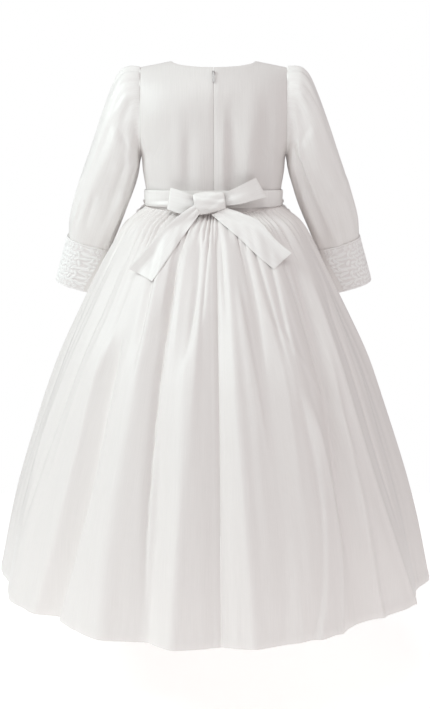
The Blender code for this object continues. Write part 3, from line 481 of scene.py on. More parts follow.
TorsoRow = namedtuple("TorsoRow", "z half_width back_depth front_depth")
TORSO = table(
    TorsoRow,
    (-0.305, 0.1310, 0.0870, 0.0900),
    (-0.250, 0.1345, 0.0880, 0.0910),
    (-0.215, 0.1400, 0.0900, 0.0930),
    (-0.185, 0.1430, 0.0910, 0.0940),
    (-0.160, 0.1510, 0.0905, 0.0940),
    (-0.120, 0.1590, 0.0890, 0.0930),
    (-0.060, 0.1610, 0.0880, 0.0900),
    (0.010, 0.1610, 0.0880, 0.0900),
)

# Long soft folds of the loose back, and like ones in front: where each starts and ends, and its width and
# height in millimetres, where less than 0 is a hollow
BackFold = namedtuple("BackFold", "start_x start_z end_x end_z width height")
BACK_FOLDS = table(
    BackFold,
    (0.020, -0.085, 0.019, -0.262, 9, 3.0),
    (0.036, -0.050, 0.032, -0.262, 11, -4.2),
    (0.080, -0.035, 0.066, -0.262, 18, 5.6),
    (0.108, -0.060, 0.096, -0.262, 13, -4.4),
    (-0.046, -0.100, -0.046, -0.262, 12, -2.4),
    (-0.068, -0.080, -0.066, -0.262, 13, 2.6),
    (-0.108, -0.130, -0.100, -0.262, 14, -1.6),
)
FRONT_FOLDS = table(
    BackFold,
    (-0.118, -0.060, -0.072, -0.262, 24, 3.0),
    (0.112, -0.070, 0.064, -0.262, 24, 3.2),
    (0.018, -0.130, 0.014, -0.262, 14, -1.4),
    (-0.040, -0.150, -0.034, -0.262, 14, 1.4),
)


def shoulder_z(x):
    return -SHOULDER_DROP * (np.abs(x) - NECK_HALF_WIDTH) / (ARMHOLE_X - NECK_HALF_WIDTH)


def drape(x, z):
    """Soft vertical folds where the loose back hangs to the waist, deeper on the wearer's right."""
    low = smoothstep((-0.105 - z) / 0.12)
    right = 1.2 * MM * np.sin(2 * pi * (x - 6 * MM) / (50 * MM)) * smoothstep(x / (12 * MM))
    left = 1.1 * MM * np.sin(2 * pi * (-x - 12 * MM) / (64 * MM)) * smoothstep(-x / (12 * MM))
    return low * np.where(x >= 0, right, left)


def long_folds(x, z, folds):
    rise = 0.0
    for fold in folds:
        t = (z - fold.start_z) / (fold.end_z - fold.start_z)
        middle = mix(fold.start_x, fold.end_x, np.clip(t, 0, 1.2))
        held = smoothstep(t / 0.5) * (1 - 0.7 * smoothstep((t - 0.70) / 0.25))
        rise = rise + fold.height * MM * bump(x - middle, fold.width * MM * 1.6) * held
    return rise


def torso_depth(x, z, front, folded=True):
    """How far the worn bodice stands from the plane of the side seams."""
    half_width = curve(TORSO, "half_width", z)
    deep = curve(TORSO, "front_depth" if front else "back_depth", z)
    across = np.maximum(0.0, 1 - (np.abs(x) / half_width) ** SQUARENESS) ** (1 / SQUARENESS)
    below = np.clip((shoulder_z(x) - z) / SHOULDER_ROUNDING, 0.0, 1.0)
    depth = deep * across * np.sqrt(1 - (1 - below) ** 2)
    free = smoothstep(across / 0.7)
    if not front:
        depth = depth + drape(x, z) * free
    if folded:
        clear = smoothstep((ARMHOLE_X - np.abs(x)) / (25 * MM))
        depth = depth + long_folds(x, z, FRONT_FOLDS if front else BACK_FOLDS) * clear * free
    return np.maximum(depth, 0.0)


def waist_z(turn):
    return WAIST_SIDE - WAIST_BACK_DIP * np.maximum(0.0, np.cos(np.radians(turn))) ** 1.5


def edge_turn(z):
    share = np.minimum(1.0, ARMHOLE_X / curve(TORSO, "half_width", z))
    return np.arcsin(share ** (SQUARENESS / 2))


def bodice_x(across, z):
    half_width = curve(TORSO, "half_width", z)
    return np.sign(across) * half_width * np.sin(np.abs(across) * edge_turn(z)) ** (2 / SQUARENESS)


def bodice_top(x, front):
    inside = np.sqrt(np.maximum(0.0, 1 - (x / NECK_HALF_WIDTH) ** 2))
    dip = FRONT_NECK_DIP if front else BACK_NECK_DIP
    return np.where(np.abs(x) < NECK_HALF_WIDTH, -dip * inside, shoulder_z(x))


def bodice_grid(across, up, front):
    across, up = across[None, :], up[:, None]
    top = bodice_top(bodice_x(across, 0.0), front)
    waist_x = bodice_x(across, WAIST_SIDE)
    waist_y = torso_depth(waist_x, WAIST_SIDE, front, False) * (1 if front else -1)
    bottom = waist_z(np.degrees(np.arctan2(waist_x, -waist_y))) + SEAM_GAP / 2
    z = mix(bottom, top, 1 - (1 - up) ** 1.5)
    x = bodice_x(across, z)
    depth = torso_depth(x, z, front)
    below_edge = (top - z) / MM
    at_neck = np.abs(bodice_x(across, 0.0)) < NECK_HALF_WIDTH
    # The faced neckline: a soft rolled edge, and the line where its facing ends
    rolled = 0.35 * bump(below_edge - NECK_FACING, 3.5) - (1 - smoothstep(below_edge / NECK_ROLL))
    depth = depth + np.where(at_neck, rolled * MM, 0.0) * smoothstep(depth / (8 * MM))
    if not front:
        # The slit's edges roll in to the zip, with the line of its seam beside them
        beside = np.abs(x) / MM
        slit = -1.3 * MM * (1 - smoothstep(beside / SLIT_ROLL)) + 0.5 * MM * bump(beside - SLIT_SEAM, 4.0)
        depth = depth + (slit - 0.25 * MM * bump(beside - SLIT_STITCHING, 1.6))
    return points(x, np.maximum(depth, 0.0) * (1 if front else -1), z)


BODICE_ROWS = 84
BODICE_COLUMNS = 72
BODICE_FLAT = {"bodice_front": (0.36, 0.30), "bodice_back": (0.18, 0.30)}


def make_bodice(satin):
    half = SEAM_GAP / 2
    armholes = [((1, 0, 0), ARMHOLE_X), ((-1, 0, 0), ARMHOLE_X)]
    up = np.linspace(1, 0, BODICE_ROWS)
    side = np.linspace(0, 1, BODICE_COLUMNS) ** 0.96
    panels = (
        ("bodice_front", np.concatenate([-side[:0:-1], side]), True, [((0, -1, 0), -half)]),
        ("bodice_back_left", -side[::-1], False, [((0, 1, 0), -half), ((1, 0, 0), -ZIP_SLIT / 2)]),
        ("bodice_back_right", side, False, [((0, 1, 0), -half), ((-1, 0, 0), -ZIP_SLIT / 2)]),
    )
    for node, across, front, planes in panels:
        grid = bodice_grid(across, up, front)
        core = points(0.0, 0.0, grid[..., 2] - 0.02)
        flat = BODICE_FLAT["bodice_front" if front else "bodice_back"]
        piece = cloth(f"{node}_cloth", grid, core, satin, flat, planes=planes + armholes, level=(-1,))
        settle(piece, node)


# Skirt

GATHERS = 74
BACK_SEAM_ANGLE = 2.0
SIDE_SEAM_ANGLE = 90.0
HEM_SIDE_LIFT = 34 * MM

SkirtRow = namedtuple("SkirtRow", "place z half_width half_depth squareness")
SKIRT = table(
    SkirtRow,
    (0.000, -0.2830, 0.1318, 0.0886, 2.60),
    (0.005, -0.2865, 0.1340, 0.0910, 2.55),
    (0.022, -0.2945, 0.1440, 0.1030, 2.45),
    (0.050, -0.3120, 0.1640, 0.1260, 2.35),
    (0.100, -0.3460, 0.1860, 0.1500, 2.25),
    (0.180, -0.4050, 0.2170, 0.1820, 2.20),
    (0.300, -0.4950, 0.2590, 0.2250, 2.14),
    (0.450, -0.6110, 0.3070, 0.2790, 2.08),
    (0.620, -0.7510, 0.3510, 0.3280, 2.05),
    (0.800, -0.9010, 0.3910, 0.3700, 2.03),
    (1.000, -1.0640, 0.4220, 0.3970, 2.00),
)

# Crests and valleys of the large folds, in order round the skirt: degrees from centre back, then heights in
# millimetres, each high on the skirt, at its middle, low down and at the hem, and how sharp a valley is
Fold = namedtuple(
    "Fold", "turn_top turn_middle turn_low turn_hem rise_top rise_middle rise_low rise_hem sharp"
)
FOLDS = table(
    Fold,
    (-172, -171, -171, -172, 4, 11, 18, 20, 0.0),
    (-164, -162, -161, -160, 0, 0, 0, 0, 0.6),
    (-152, -150, -149, -148, 5, 12, 20, 22, 0.0),
    (-141, -141, -142, -141, 0, 1, 1, 2, 0.2),
    (-131, -132, -133, -132, 4, 10, 16, 20, 0.0),
    (-120, -122, -124, -123, 0, 0, 0, 0, 0.8),
    (-109, -111, -112, -111, 5, 14, 20, 24, 0.0),
    (-101, -102, -103, -102, 1, 4, 6, 6, 0.0),
    (-93, -92, -91, -92, 5, 11, 16, 18, 0.0),
    (-86, -82, -78, -77, 0, 0, 0, 0, 0.8),
    (-78, -70, -64, -62, 6, 12, 18, 25, 0.0),
    (-48, -43, -41, -47, 0, 0, 0, 2, 0.9),
    (-31, -29, -29, -29, 8, 16, 24, 31, 0.0),
    (-22, -20.5, -17, -18, 0, 0, 0, 1, 0.7),
    (-5, -8, -9, -10.5, 8, 20, 27, 29, 0.0),
    (3, 2, 2, 2, 0, 0, 1, 2, 0.9),
    (9, 8, 9, 10.5, 6, 18, 23, 24, 0.0),
    (20, 20, 21, 18, 0, 8, 14, 15, 0.3),
    (33, 31, 32, 27, 8, 18, 24, 26, 0.0),
    (50, 43, 39, 42, 0, 0, 0, 0, 0.8),
    (58, 51, 50, 58, 8, 18, 24, 29, 0.0),
    (76, 71, 70, 72, 1, 2, 5, 6, 0.3),
    (87, 82, 80, 80, 6, 12, 17, 20, 0.0),
    (98, 94, 92, 91, 0, 0, 1, 2, 0.7),
    (108, 106, 104, 103, 5, 11, 17, 21, 0.0),
    (117, 116, 115, 114, 0, 1, 2, 3, 0.4),
    (127, 127, 128, 129, 5, 14, 21, 25, 0.0),
    (139, 139, 140, 142, 0, 0, 0, 0, 0.8),
    (150, 151, 152, 153, 4, 11, 17, 20, 0.0),
    (160, 160, 161, 162, 1, 2, 5, 5, 0.2),
    (168, 169, 170, 170, 5, 11, 17, 20, 0.0),
    (178, 178, 178, 177, 0, 0, 0, 0, 0.7),
)
FOLD_STATIONS = (0.10, 0.45, 0.72, 1.00)
CREST_ROUND = 0.14


def station(fold, what, place):
    values = [getattr(fold, f"{what}_{part}") for part in ("top", "middle", "low", "hem")]
    low = min(max(sum(s <= place for s in FOLD_STATIONS) - 1, 0), 2)
    t = (place - FOLD_STATIONS[low]) / (FOLD_STATIONS[low + 1] - FOLD_STATIONS[low])
    t = min(max(t, 0.0), 1.0)
    return mix(values[low], values[low + 1], smoothstep(t) * 0.5 + t * 0.5)


def facet(t, start, end):
    """A straight run from 0 to 1, rounded off over the first and the last share of it."""
    steep = 1 / (1 - start / 2 - end / 2)
    begun = np.where(t < start, t * t / (2 * start), t - start / 2) * steep
    return np.where(t > 1 - end, 1 - steep * (1 - t) ** 2 / (2 * end), begun)


def fold_rise(turns, places):
    """How far the large folds stand out from the valleys, for every place down and turn round the skirt.
    Heavy satin falls in flat facets with rounded crests and tight valleys."""
    corner = np.array([CREST_ROUND if fold.rise_low > 8 else 0.34 - 0.26 * fold.sharp for fold in FOLDS])
    corner = np.append(corner, corner[0])
    lines = []
    for place in places:
        at = np.array([station(fold, "turn", place) for fold in FOLDS])
        rises = np.array([station(fold, "rise", place) for fold in FOLDS])
        at, rises = np.append(at, at[0] + 360), np.append(rises, rises[0])
        turn = (turns - at[0]) % 360 + at[0]
        k = np.clip(np.searchsorted(at, turn, side="right") - 1, 0, len(FOLDS) - 1)
        t = (turn - at[k]) / (at[k + 1] - at[k])
        share = facet(t, corner[k], corner[k + 1])
        lines.append(mix(rises[k], rises[k + 1], share) * MM * smoothstep(place / FOLD_STATIONS[0]))
    return np.array(lines)


def scattered(index, seed):
    """A steady pseudo-random number from 0 to 1 for each index."""
    value = np.sin(12.9898 * index + 78.233 * seed) * 43758.5453
    return value - np.floor(value)


# Heights of the gathers in millimetres: all together, and the least and the spread of puffs and of valleys
GATHERED_BULK = 3.6
PUFF_LEAST, PUFF_SPREAD = 1.6, 3.4
VALLEY_LEAST, VALLEY_SPREAD = 2.4, 7.6
# How far round and how far down the gathers lie flat under a flower trim
FLAT_START, FLAT_END, FLAT_DEPTH = 90, 112, 0.034


def gathers(turn, place):
    """Small uneven gathers that spread from the waist seam: soft puffs with pressed valleys between, some of
    them short and some long."""
    share = (turn % 360) / 360
    line = share * GATHERS + 0.34 * np.sin(14 * pi * share + 1.1) + 0.28 * np.sin(32 * pi * share + 0.4)
    line = line + 0.30 * smoothstep(place / 0.2) * np.sin(10 * pi * share + 2.0)
    index = np.floor(line) % GATHERS
    beside = line - np.floor(line) - 0.5
    puff = (PUFF_LEAST + PUFF_SPREAD * scattered(np.round(line) % GATHERS, 1)) * np.sin(pi * beside) ** 2
    puff = puff * smoothstep((place + 0.010) / 0.026) * (1 - smoothstep((place - 0.02) / 0.10))
    deep = VALLEY_LEAST + VALLEY_SPREAD * scattered(index, 2) ** 1.2
    long = 0.05 + 0.24 * scattered(index, 3) ** 2
    pressed = deep * np.exp(-np.abs(beside) / (0.09 + 0.07 * scattered(index, 4)))
    pressed = pressed * (0.45 + 0.55 * smoothstep(place / 0.02)) * (1 - smoothstep((place - 0.01) / long))
    rise = (GATHERED_BULK + puff - pressed) * MM * (1 - smoothstep((place - 0.1) / 0.2))
    aside = np.abs(wrapped(turn))
    trimmed = smoothstep((aside - FLAT_START) / 4) * (1 - smoothstep((aside - FLAT_END) / 4))
    trimmed = trimmed * (1 - smoothstep((place - FLAT_DEPTH) / 0.03))
    return mix(rise, (2.4 + 3.4 * bump(place - 0.013, 0.02)) * MM, trimmed)


def skirt_radius(turn, place):
    """The skirt's own rounded section without its folds."""
    columns = [curve(SKIRT, column, place) for column in ("half_width", "half_depth", "squareness")]
    return section_radius(turn, *columns)


# Creases and streaks that the photograph shows: how far down each starts and ends, where it is round the
# skirt, the widths of its two flanks, and its height. Widths and heights are in millimetres, and a negative
# height is a valley.
Streak = namedtuple("Streak", "start end turn_start turn_middle turn_end left right height")
STREAKS = table(
    Streak,
    (0.03, 0.44, -11.5, -8.5, -14, 11, 6, -7.0),
    (0.04, 0.40, -17, -17, -16, 7, 10, 3.0),
    (0.05, 0.50, -20.5, -19.5, -18, 4, 14, 4.0),
    (0.08, 0.98, -22.5, -20.5, -18, 7, 3, -7.0),
    (0.04, 0.32, -27, -25.5, -25, 10, 5, 4.5),
    (0.08, 0.44, -36, -32.5, -31, 10, 4, -8.0),
    (0.10, 0.50, -30.5, -30, -29, 6, 14, 3.0),
    (0.30, 1.00, -43, -40.0, -46, 22, 6, -13.0),
    (0.28, 1.00, -51, -47.0, -52, 34, 16, 11.0),
    (0.05, 0.45, 21, 22, 19.5, 12, 4, -4.0),
    (0.20, 0.62, 13, 15.5, 17.5, 16, 5, 4.0),
    (0.03, 0.30, 5.5, 6, 6.5, 6, 3, -4.0),
    (0.03, 0.34, -4.5, -4.5, -6, 7, 3, -4.0),
    (0.05, 0.42, 27, 28.5, 29, 8, 3, -4.5),
    (0.05, 0.55, 43, 44, 43, 9, 4, -5.0),
    (0.08, 0.40, 35.5, 33.5, 31.5, 13, 4, -7.0),
    (0.20, 0.70, 26, 27, 26, 6, 12, 2.0),
    (0.42, 1.00, 30.6, 31.8, 26, 22, 8, -9.5),
    (0.46, 1.00, 34.6, 36.8, 34, 10, 14, 9.5),
    (0.22, 0.76, 17, 42.5, 48, 5, 9, 1.6),
    (0.10, 0.75, 52, 46, 38.5, 13, 4, -8.0),
    (0.14, 1.00, 56, 51.5, 61, 9, 12, 7.0),
    (0.30, 1.00, 50, 46, 48.5, 6, 9, 7.5),
    (0.20, 0.85, 64, 60, 63, 12, 5, -6.0),
    (0.10, 0.60, 69, 66, 67, 8, 14, 4.0),
    (0.05, 0.50, -44, -46, -47, 6, 12, 3.0),
    (0.06, 0.80, -52, -54, -59, 7, 11, 3.0),
    (0.08, 0.95, -57, -60, -66, 10, 6, -4.0),
    (0.10, 0.90, -63, -66, -71, 7, 11, 3.0),
    (0.12, 0.75, -69, -71, -74, 10, 6, -3.0),
)
# The sides and the front, which the photograph hides, have like ones, evenly spread and varied in turn
SIDE_TURNS = (
    78, 86, 97, 104, 113, 121, 131, 138, 146, 156, 165, 174,
    183, 191, 200, 208, 217, 225, 234, 243, 250, 258, 267, 276,
)
SIDE_HEIGHTS = (4.0, -4.5, 3.0, -3.5, 4.5)
SIDE_STREAKS = tuple(
    Streak(
        start=0.05 + 0.04 * (k % 3), end=0.55 + 0.11 * (k % 4),
        turn_start=turn, turn_middle=turn + 2 - k % 4, turn_end=turn + 3 - k % 6,
        left=6 + 5 * (k % 2), right=12 - 5 * (k % 2), height=SIDE_HEIGHTS[k % 5],
    )
    for k, turn in enumerate(SIDE_TURNS)
)


def streak_rise(turn, place, radius):
    rise = np.zeros(np.broadcast(turn, place).shape)
    for streak in STREAKS + SIDE_STREAKS:
        t = (place - streak.start) / (streak.end - streak.start)
        inside = np.clip(t, 0.0, 1.0)
        bow = streak.turn_middle - (streak.turn_start + streak.turn_end) / 2
        middle = mix(streak.turn_start, streak.turn_end, inside) + 4 * bow * inside * (1 - inside)
        away = np.radians(wrapped(turn - middle)) * radius / MM
        profile = np.exp(-(np.abs(away) / np.where(away < 0, streak.left, streak.right)) ** 1.5)
        leaves = smoothstep((1 - t) / 0.35) if streak.end < 1 else 1.0
        rise += streak.height * MM * profile * smoothstep(t / 0.2) * leaves
    return rise


HEM_DEPTH = 26 * MM
SKIRT_LENGTH = 0.83
# Seams and hem: how deep a seam and the hem's stitching draw in, and how far the cloth stands out beside them
SEAM_DENT, SEAM_RIDGE = 1.4 * MM, 0.5 * MM
STITCH_DENT, HEM_RIDGE, HEM_PUCKER, EDGE_ROLL = 0.9 * MM, 0.5 * MM, 0.55 * MM, 1.2 * MM


def skirt_grid(turns, places):
    turn, place = turns[None, :], places[:, None]
    base = skirt_radius(turn, place)
    radius = base + fold_rise(turns, places) + gathers(turn, place) + streak_rise(turn, place, base)
    share = (turn % 360) / 360
    slow = waves(share, place, 11, (9, 14, 19, 23, 31), 1.2) * 1.0 * MM
    fine = waves(share, place, 12, (43, 57, 71, 88), 1.0) * 0.45 * MM
    radius = radius + (slow + fine * smoothstep((place - 0.1) / 0.2)) * smoothstep(place / 0.25)
    for seam in (BACK_SEAM_ANGLE, SIDE_SEAM_ANGLE, -SIDE_SEAM_ANGLE):
        beside = np.abs(np.radians(wrapped(turn - seam)) * base / MM)
        radius = radius - SEAM_DENT * np.exp(-beside / 2.2) * smoothstep(place / 0.03)
        radius = radius + SEAM_RIDGE * bump(beside - 8.0, 5.0) * smoothstep(place / 0.1)
    up = (1 - place) * SKIRT_LENGTH
    stitched = np.exp(-((up - HEM_DEPTH) / (2.2 * MM)) ** 2)
    puckers = waves(share, 0 * place, 13, (97, 131, 163, 211), 0.0)
    radius = radius - STITCH_DENT * stitched + HEM_RIDGE * (1 - smoothstep((up - HEM_DEPTH) / (3 * MM)))
    radius = radius + HEM_PUCKER * puckers * np.exp(-np.abs(up - HEM_DEPTH) / (14 * MM))
    radius = radius - EDGE_ROLL * (1 - smoothstep(up / (2.5 * MM)))
    dip = (waist_z(turn) - WAIST_SIDE) * (1 - smoothstep(place / 0.3))
    lifted = HEM_SIDE_LIFT * np.sin(np.radians(turn)) ** 2 * place ** 2
    z = curve(SKIRT, "z", place) + dip + lifted - 0.8 * SEAM_GAP * (place == 0)
    return around(turn, radius, z)


def seam_plane(turn, after):
    """The plane of a lengthwise seam, and the side of it that a panel keeps to."""
    onward = np.array((np.cos(radians(turn)), np.sin(radians(turn)), 0.0))
    return (-onward, -SEAM_GAP / 2) if after else (onward, -SEAM_GAP / 2)


SKIRT_ROWS = 124
HEM_WALL = 1.2 * MM
# Each panel: its node, where it starts and ends, its columns, its cut width and its cut area
Panel = namedtuple("Panel", "node start end columns width area")
PANELS = table(
    Panel,
    ("skirt_back_left", -SIDE_SEAM_ANGLE, BACK_SEAM_ANGLE, 220, 0.70, 0.43),
    ("skirt_back_right", BACK_SEAM_ANGLE, SIDE_SEAM_ANGLE, 212, 0.68, 0.41),
    ("skirt_front", SIDE_SEAM_ANGLE, 360 - SIDE_SEAM_ANGLE, 300, 1.38, 0.84),
)


def make_skirt(satin):
    near_waist = np.linspace(0, 1, SKIRT_ROWS) ** 1.25
    for panel in PANELS:
        turns = np.linspace(panel.start, panel.end, panel.columns)
        grid = skirt_grid(turns, near_waist)
        core = points(0.0, 0.0, grid[..., 2] - 0.1)
        planes = [seam_plane(panel.start, True), seam_plane(panel.end, False)]
        hem = HEM_WALL * (1 - smoothstep(((1 - near_waist) * SKIRT_LENGTH - HEM_DEPTH) / (2 * MM)))
        turned = np.broadcast_to(hem[:, None], grid.shape[:2])
        flat = (panel.width, SKIRT_LENGTH)
        piece = cloth(
            f"{panel.node}_cloth", grid, core, satin, flat, planes=planes, level=(0, -1), turned=turned
        )
        settle(piece, panel.node)


# Sleeves and cuffs

SleeveRow = namedtuple("SleeveRow", "place inner_x inner_z outer_x outer_z half_depth centre_y lean")
SLEEVE = table(
    SleeveRow,
    (0.00, 0.1433, -0.1850, 0.1433, -0.0120, 0.0480, 0.000, 0.00),
    (0.06, 0.1440, -0.1880, 0.1560, -0.0085, 0.0500, 0.000, 0.00),
    (0.13, 0.1446, -0.1910, 0.1745, -0.0130, 0.0520, 0.000, 0.00),
    (0.20, 0.1452, -0.1940, 0.1895, -0.0290, 0.0535, 0.001, 0.01),
    (0.28, 0.1460, -0.1985, 0.2065, -0.0660, 0.0545, 0.002, 0.02),
    (0.38, 0.1478, -0.2090, 0.2215, -0.1030, 0.0545, 0.004, 0.04),
    (0.50, 0.1530, -0.2290, 0.2395, -0.1520, 0.0540, 0.010, 0.08),
    (0.64, 0.1640, -0.2620, 0.2605, -0.2090, 0.0525, 0.026, 0.12),
    (0.78, 0.1795, -0.3010, 0.2785, -0.2620, 0.0510, 0.046, 0.15),
    (0.90, 0.1965, -0.3390, 0.2935, -0.3090, 0.0495, 0.069, 0.17),
    (1.00, 0.2110, -0.3710, 0.2990, -0.3460, 0.0475, 0.090, 0.16),
    (1.20, 0.2245, -0.4180, 0.3130, -0.3935, 0.0465, 0.108, 0.15),
    (1.40, 0.2380, -0.4650, 0.3270, -0.4400, 0.0455, 0.125, 0.15),
)
CUFF_START = 1.0014
CUFF_END = 1.40
CUFF_FULLNESS = 1.0 * MM
SLEEVE_SQUARE_INNER = 0.56
SLEEVE_SQUARE_OUTER = 0.74

# Pleats at the sleeve head and long creases down the sleeve: how far down each starts and ends, its turns
# from the outer side (0) by the back (90), its width in degrees, its height in millimetres, and how sharp it
# is
Crease = namedtuple("Crease", "start end turn_start turn_end width height sharp")
SLEEVE_CREASES = table(
    Crease,
    (0.01, 0.36, 14, 8, 13, 2.6, 0.0),
    (0.01, 0.44, 40, 34, 14, 2.4, 0.0),
    (0.01, 0.30, 66, 64, 13, 1.8, 0.0),
    (0.01, 0.34, -20, -14, 13, 2.2, 0.0),
    (0.01, 0.30, -48, -44, 14, 1.8, 0.0),
    (0.32, 0.92, 92, 60, 26, 4.5, 0.0),
    (0.62, 1.00, 122, 128, 24, 3.5, 0.0),
    (0.66, 1.00, 24, 20, 22, 3.0, 0.0),
    (0.50, 0.98, -110, -80, 28, 4.0, 0.0),
    (0.00, 0.30, 27, 16, 8, -3.0, 0.8),
    (0.00, 0.40, 53, 36, 8, -3.4, 0.8),
    (0.00, 0.34, 68, 56, 7, -2.4, 0.8),
    (0.00, 0.22, 6, 2, 7, -2.4, 0.8),
    (0.00, 0.16, -34, -32, 7, -1.8, 0.8),
    (0.00, 0.14, -62, -60, 7, -1.4, 0.8),
    (0.08, 0.62, 75, 112, 16, -2.2, 0.4),
    (0.22, 0.80, 58, 40, 18, 2.0, 0.2),
    (0.40, 0.98, 104, 96, 14, -2.4, 0.5),
    (0.70, 1.00, 78, 84, 13, -2.0, 0.5),
    (0.76, 1.00, 48, 44, 12, 1.8, 0.3),
    (0.20, 0.70, -70, -96, 16, -2.2, 0.4),
    (0.60, 1.00, -40, -52, 16, -2.0, 0.4),
)
# The one bright crease down the wearer's right sleeve, with the hollow beside it
RIGHT_SLEEVE_CREASES = table(
    Crease,
    (0.26, 1.18, 105, 86, 8, 8.0, 0.2),
    (0.22, 1.05, 121, 106, 12, -4.5, 0.2),
)


def armhole_points(turn):
    """The flat armhole oval: 0 degrees at the shoulder, 90 at the back."""
    angle = np.radians(turn)
    z = mix(ARMHOLE_BOTTOM, shoulder_z(ARMHOLE_X), 0.5 + 0.5 * np.cos(angle))
    front = torso_depth(ARMHOLE_X, z, True, False)
    back = torso_depth(ARMHOLE_X, z, False, False)
    return points(ARMHOLE_X + SEAM_GAP, np.where(np.sin(angle) < 0, front, -back), z)


def sleeve_section(turn, place):
    c, s = np.cos(np.radians(turn)), np.sin(np.radians(turn))
    # The worn sleeve is squarer than a round tube, and so flatter at its back and front
    squarest = np.where(c < 0, SLEEVE_SQUARE_INNER, SLEEVE_SQUARE_OUTER)
    square = mix(1.0, squarest, smoothstep((place - 0.1) / 0.3))
    c, s = np.sign(c) * np.abs(c) ** square, np.sign(s) * np.abs(s) ** square
    away = -curve(SLEEVE, "half_depth", place) * s
    x = mix(curve(SLEEVE, "inner_x", place), curve(SLEEVE, "outer_x", place), 0.5 + 0.5 * c)
    z = mix(curve(SLEEVE, "inner_z", place), curve(SLEEVE, "outer_z", place), 0.5 + 0.5 * c)
    return points(x, curve(SLEEVE, "centre_y", place) + away, z + curve(SLEEVE, "lean", place) * away)


def sleeve_core(place):
    return (sleeve_section(0.0, place) + sleeve_section(180.0, place)) / 2


def crease_rise(turn, place, creases):
    rise = np.zeros(np.broadcast(turn, place).shape)
    for crease in creases:
        t = (place - crease.start) / (crease.end - crease.start)
        middle = mix(crease.turn_start, crease.turn_end, t)
        distance = wrapped(turn - middle)
        pressed = np.exp(-np.abs(distance) / (0.45 * crease.width))
        profile = mix(bump(distance, crease.width), pressed, crease.sharp)
        fade = smoothstep((t + 0.02) / 0.15) * smoothstep((1 - t) / 0.5) * (t >= -0.02)
        rise += crease.height * MM * profile * fade
    return rise


def sleeve_grid(turn, place, lift=0.0, creases=()):
    """The +X sleeve or cuff: turn 0 at its outer side, 90 at the back, 180 at the underarm."""
    at_armhole = (1 - smoothstep(place / 0.13))[..., None]
    grid = mix(sleeve_section(turn, place), armhole_points(turn), at_armhole)
    outward = unit(grid - sleeve_core(place))
    rise = crease_rise(turn, place, creases) * (place <= 1.0)
    return grid + outward * (rise + lift)[..., None]


SLEEVE_ROWS = 112
SLEEVE_COLUMNS = 118
CUFF_ROWS = 28
SLEEVE_FLAT = (0.33, 0.42)
CUFF_FLAT = (0.26, 0.10)


def mirrored(grid, side):
    return grid * np.array((side, 1.0, 1.0))


def tube(name, places, lift, side, material, flat, uneven):
    turns = np.linspace(0, 360, SLEEVE_COLUMNS, endpoint=False)
    turn, place = turns[None, :], places[:, None]
    ripples = waves(turn / 360, place, 21 + side, (3, 5, 7, 11, 16), 2.6)
    ruffled = lift + ripples * uneven * smoothstep(place / 0.15)
    creases = SLEEVE_CREASES + RIGHT_SLEEVE_CREASES if side > 0 else SLEEVE_CREASES
    grid = sleeve_grid(turn, place, ruffled, creases)
    core = np.broadcast_to(sleeve_core(place), grid.shape)
    armhole = ((-side, 0, 0), -(ARMHOLE_X + SEAM_GAP))
    return cloth(
        name, mirrored(grid, side), mirrored(core, side), material, flat, closed=True, planes=[armhole]
    )


# Lace applique on the cuffs

LACE_CLEARANCE = 0.4 * MM
LACE_NET = 0.35 * MM
LACE_RELIEF = 1.2 * MM
LACE_TURN_TOP = 120
LACE_TURN_END = 96
LACE_COLUMNS = 230
LACE_ROWS = 92
LACE_FLAT = (0.19, 0.105)


def lace_pattern(u, v):
    """Height of the lace, from 0 on its net to 1 on a raised thread, at u and v metres across and down it."""
    top = v / MM
    height = np.zeros(u.shape)
    # Small flowers along the top and the foot, each of five petals round an eyelet
    for row, (line, spacing, radius) in enumerate(((8.0, 10.5, 5.0), (97.0, 10.0, 4.4))):
        along = (u / MM + 3.0 * row) / spacing
        dx = (along - np.round(along)) * spacing
        dy = top - line
        distance = np.hypot(dx, dy)
        petals = radius * (0.80 + 0.20 * np.cos(5 * np.arctan2(dy, dx) + np.round(along)))
        height = np.maximum(height, bump(distance - 0.55 * petals, 0.62 * petals) * (distance < 1.2 * petals))
    # Rows of small slanted leaves with a pressed rib, turned a little differently one from the next
    for row, line in enumerate((22.0, 33.0, 44.0, 55.0, 66.0, 77.0, 87.0)):
        spacing, length = 8.5 + 0.7 * (row % 3), 7.0 + 1.2 * (row % 2)
        shift, slope = 0.37 * row, (0.95, -0.85)[row % 2]
        along = (u / MM) / spacing + shift
        for near in (-1, 0, 1):
            index = np.round(along) + near
            dx, dy = u / MM - (index - shift) * spacing, top - line - 1.5 * np.sin(1.3 * index + row)
            turned = slope + 0.5 * np.sin(2.1 * index + row)
            far = dx * np.sin(turned) + dy * np.cos(turned)
            aside = dx * np.cos(turned) - dy * np.sin(turned) + 0.03 * far ** 2
            body = (1 - (far / length) ** 2 - (aside / 2.9) ** 2)
            leaf = smoothstep(body / 0.45) * (1 - 0.35 * np.exp(-(aside / 0.6) ** 2))
            height = np.maximum(height, leaf * (body > 0))
    # A corded edge at top and bottom, and a looping cord under the flowers
    for line, wide in ((1.5, 0.8), (15.0, 2.0), (103.5, 0.8)):
        wave = wide * np.sin(u / MM * 2 * pi / 12.0 + line)
        height = np.maximum(height, 0.75 * bump(top - line - wave, 1.8))
    return height


